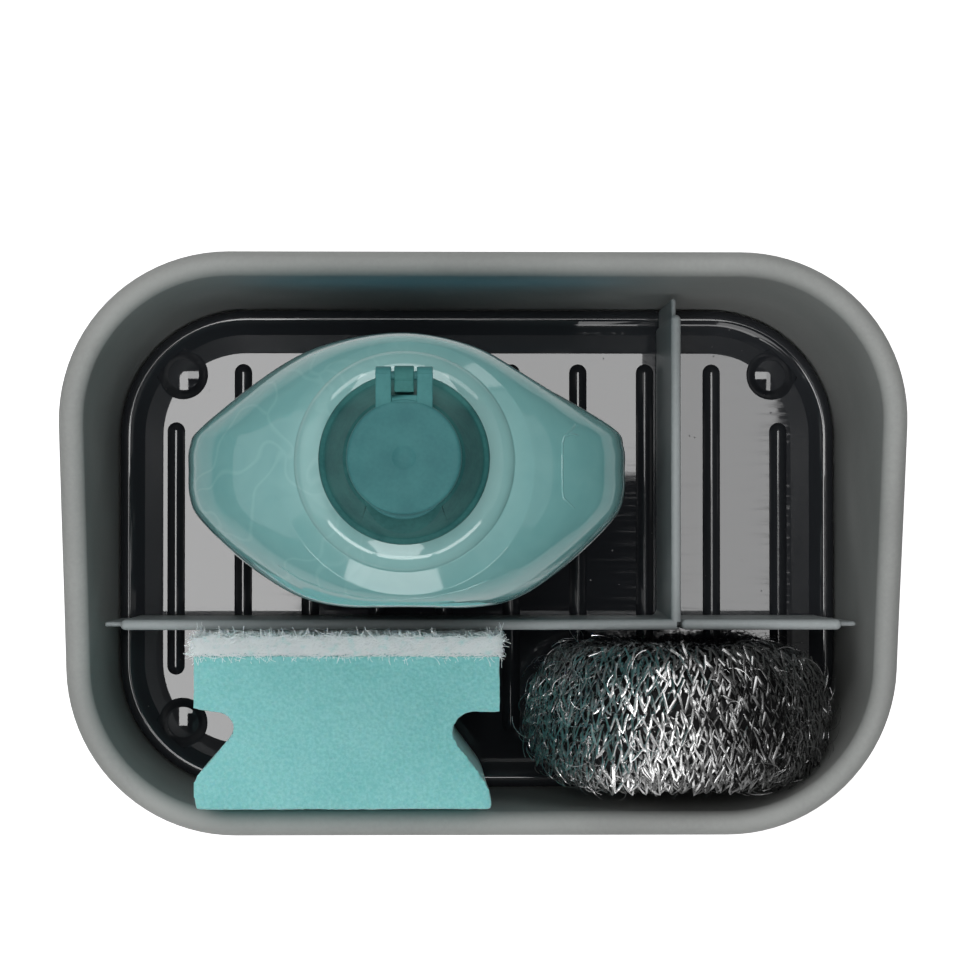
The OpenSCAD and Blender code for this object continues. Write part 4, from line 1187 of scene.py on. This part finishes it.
FIBRES, ON_TOP, ON_BACK = 5200, 0.55, 0.85
dice = random.Random(11)
chance = dice.uniform
threads = [crinkled(20 + i, 4.6 + i * 0.7, 0.07, 0.4 + 0.1 * i) for i in range(5)]
strewn = []
for _ in range(FIBRES):
    spot = dice.random()
    if spot < ON_TOP:
        at = (chance(PAD_X[0] + 0.8, PAD_X[1] - 0.8), chance(-24.3, -20.3), FOAM_TOP - 0.35 + chance(-0.4, 0.3))
        up = (chance(-0.25, 0.25), chance(-0.15, 0.3), 1)
    elif spot < ON_BACK:
        at = (chance(*PAD_X), -20.1 + chance(-0.3, 0.1), chance(RIB_TOP + 3, FOAM_TOP))
        up = (chance(-0.3, 0.3), 1, chance(-0.3, 0.3))
    else:
        side = dice.choice((0, 1))
        at = (PAD_X[side] + (0.15 if side else -0.15), chance(-24.1, -20.1), chance(RIB_TOP + 3, FOAM_TOP))
        up = (1 if side else -1, chance(-0.3, 0.3), chance(-0.3, 0.3))
    which = dice.randrange(5)
    along = (dice.gauss(0, 1), dice.gauss(0, 0.22), dice.gauss(0, 0.7))
    strewn.append((which, turned(at, along, up, chance(0.5, 0.95))))
fibres = strew("scour_fibres", threads, strewn)

nylon = Finish("scour_nylon", Roughness=0.55, Specular_IOR_Level=0.4, Subsurface_Weight=0.15, Subsurface_Scale=0.002)
w = nylon.wire
tint = w.noise(2.2, 3)
nylon.feed("Base Color", tint.fade(0.52, 0.8).mix(colour(250, 255, 255), colour(214, 244, 242)))
nylon.relief(w.noise(0.5, 3), 0.15, 0.6)
nylon.put_on(pad, fibres)
stand_for(pad, "sponge", "scour", "scour_pad")
stand_for(fibres, "sponge", "scour")

# %% [markdown]
# ## The steel scourer
#
# A steel scourer is a tube knitted from flat steel ribbon, gathered into a ball and flattened. It is all
# glints: thousands of short bright ribbons at every angle over darkness. One stitch, a narrow loop of
# flat ribbon, is modelled in a few variants. Copies are laid in rows over the ball's form, with every
# stitch tilted a little by chance, over a near-black core, painted shade for the ball's dark inside,
# that hides the far side. Loose curls stand out round the edge.

# %% One stitch of flat ribbon
BALL = Vector((48.6, -40.6, 45.6))
BALL_R, BALL_T = 38.0, 18.5
BALL_SHARES = [(0, 0.5), (0.12, 0.56), (0.25, 0.78), (0.38, 0.94), (0.52, 1), (0.66, 0.97), (0.76, 0.9),
               (0.84, 0.8), (0.9, 0.68), (0.95, 0.52), (0.985, 0.31), (1, 0.0)]


def stitch(seed):
    """Loop of flat ribbon, about 3 mm wide and 6 mm long, that bulges outwards."""
    dice = random.Random(seed)
    line = [(-1.6, -2.5, 0), (-1.15, -1.1, 0.5), (-0.45, 1.1, 0.9), (0.0, 2.1, 1.0), (0.45, 1.1, 0.9),
            (1.15, -1.1, 0.5), (1.6, -2.5, 0)]
    line = [Vector(p) + Vector([dice.uniform(-0.2, 0.2) for _ in range(3)]) for p in line]
    rings = []
    for i, centre in enumerate(line):
        ahead = (line[min(i + 1, 6)] - line[max(i - 1, 0)]).normalized()
        face = Vector((dice.uniform(-0.5, 0.5), dice.uniform(-0.5, 0.5), 1)).normalized()
        side = ahead.cross(face).normalized()
        up = side.cross(ahead)
        rings.append([tuple(centre + side * 0.3), tuple(centre - side * 0.3), tuple(centre + up * 0.07)])
    return draw_out("stitch", rings)


# %% Form of the ball, and rows of stitches over it
def ball_profile(share):
    """Point and outward direction on half the ball's section, from the middle of one face to the other."""
    s = share * 2 if share < 0.5 else 2 - share * 2
    rows = BALL_SHARES
    lengths = [0.0]
    for a, b in zip(rows, rows[1:]):
        lengths.append(lengths[-1] + math.hypot((b[0] - a[0]) * BALL_R, (b[1] - a[1]) * BALL_T))
    want = s * lengths[-1]
    i = max(k for k in range(len(rows) - 1) if lengths[k] <= want + 1e-9)
    t = (want - lengths[i]) / (lengths[i + 1] - lengths[i])
    r = (rows[i][0] + (rows[i + 1][0] - rows[i][0]) * t) * BALL_R
    y = (rows[i][1] + (rows[i + 1][1] - rows[i][1]) * t) * BALL_T
    out = Vector((-(rows[i + 1][1] - rows[i][1]) * BALL_T, (rows[i + 1][0] - rows[i][0]) * BALL_R)).normalized()
    front = 1 if share < 0.5 else -1
    return r, -front * y, out.x, -front * out.y


def sway(dice, spread):
    """Lean of a copy, by chance in every direction."""
    return Vector([dice.gauss(0, spread) for _ in range(3)])


def ball_spot(profile, a):
    """Point on the ball and the way out of it, at an angle round its axis."""
    r, y, out_r, out_y = profile
    at = BALL + Vector((math.cos(a) * r, y, math.sin(a) * r))
    return at, Vector((math.cos(a) * out_r, out_y, math.sin(a) * out_r))


STITCH_PITCH = 3.2


def knit(name, seed, rows, sink, spread, stray):
    """Rows of stitches over the ball, sunk, spread in depth and strayed by chance."""
    dice = random.Random(seed)
    drift = Vector((seed, 0, 0))
    places = []
    for row in range(rows):
        profile = ball_profile((row + 0.5) / rows)
        r, _, out_r, out_y = profile
        count = max(4, round(2 * math.pi * r / STITCH_PITCH))
        for i in range(count):
            a = 2 * math.pi * (i + dice.uniform(-stray, stray)) / count
            at, out = ball_spot(profile, a)
            face = Vector((math.cos(a), out_y * 0.35, math.sin(a))).lerp(out, out_y ** 4)
            wave = noise.noise(at / 9 + drift)
            at += Vector((0, noise.noise(at / 13 - drift) * 1.5 * out_r, 0))
            at -= out * (sink + 0.9 * max(0, wave) + dice.uniform(0, spread))
            if at.z < RIB_TOP + 0.8:
                at.z = RIB_TOP + 0.8 + dice.uniform(0, 0.5)
            lean = sway(dice, stray)
            along = Vector((-math.sin(a), 0, math.cos(a))) + lean
            places.append((dice.randrange(6), turned(at, along, face + lean * 0.8, dice.uniform(0.85, 1.1))))
    return strew(name, [stitch(100 + k) for k in range(6)], places)


# %% Knit the ball
CURLS, CORE_SINK = 1300, 2.4
knit_top = knit("scourer_knit_outer", 31, 27, 1.0, 0.5, 0.16)
knit_low = knit("scourer_knit_inner", 32, 44, 1.8, 1.5, 0.32)

dice = random.Random(33)
curl_places = []
for i in range(CURLS):
    share = 0.5 + dice.gauss(0, 0.17)
    a = dice.uniform(-0.9, 0.9) + dice.choice((0, math.pi)) if i % 3 else dice.uniform(0, 2 * math.pi)
    at, out = ball_spot(ball_profile(min(0.97, max(0.03, share))), a)
    at -= out * dice.uniform(1.0, 2.2)
    if at.z < RIB_TOP + 3:
        continue
    lean = sway(dice, 0.6)
    curl_places.append((dice.randrange(5), turned(at, lean, out + lean * 0.7, dice.uniform(0.6, 1.0))))
curl_models = [crinkled(60 + i, 11 + 2 * i, 0.07, 0.5, 12, 0.75 - 0.06 * i) for i in range(5)]
curls = strew("scourer_curls", curl_models, curl_places)
print("curls strewn:", len(curl_places))

core_rings = []
for k in range(1, 40):
    r, y, out_r, out_y = ball_profile(k / 40)
    r, y = max(0.3, r - CORE_SINK * max(0.2, out_r)), y - CORE_SINK * out_y
    core_rings.append([(BALL.x + r * math.cos(a), BALL.y + y, max(RIB_TOP + 2, BALL.z + r * math.sin(a)))
                       for a in (2 * math.pi * i / 64 for i in range(64))])
core = smooth(draw_out("scourer_core", core_rings), 60)

# %% [markdown]
# The ribbon is bright steel with fine roll marks along it. Its colour is painted darker on the ball's
# right side and brighter on its left: painted shade and painted light for how the light falls. The core
# is nearly black, painted shade for the ball's dark inside, so that the ribbons stand out before it.

# %% Finish of the steel
steel = Finish("steel_ribbon", Metallic=1.0)
w = steel.wire
# Painted shade and light: the ribbon is painted darker on the ball's right side and brighter on the left.
shade = w.axis("X").fade(0.034, 0.052)
steel.feed("Base Color", (w.noise(3, 2) * (1 - 0.7 * shade) + 0.3 * (1 - shade)).mix(
    colour(122, 122, 122), colour(248, 248, 248)))
steel.feed("Roughness", 0.16 + 0.18 * w.noise(1.4, 3))
steel.relief(w.noise(0.35, 2, where=w.stretched(1, 1, 0.2)), 0.02, 0.4)
steel.put_on(knit_top, knit_low, curls)
# Painted shade: the core's near-black colour stands for the dark inside of the ball.
shadowed = Finish("steel_shadowed_core", Metallic=0.6)
w = shadowed.wire
shadowed.feed("Base Color", w.cells(2.6).fade(0.2, 0.8).mix(colour(34, 34, 36), colour(12, 12, 13)))
shadowed.feed("Roughness", 0.5 + 0.3 * w.noise(2, 3))
shadowed.relief(w.cells(2.6), 0.8, 0.8)
shadowed.put_on(core)
stand_for(core, "scourer", "steel_knit", "steel_scourer")
for piece in (knit_top, knit_low, curls):
    stand_for(piece, "scourer", "steel_knit")
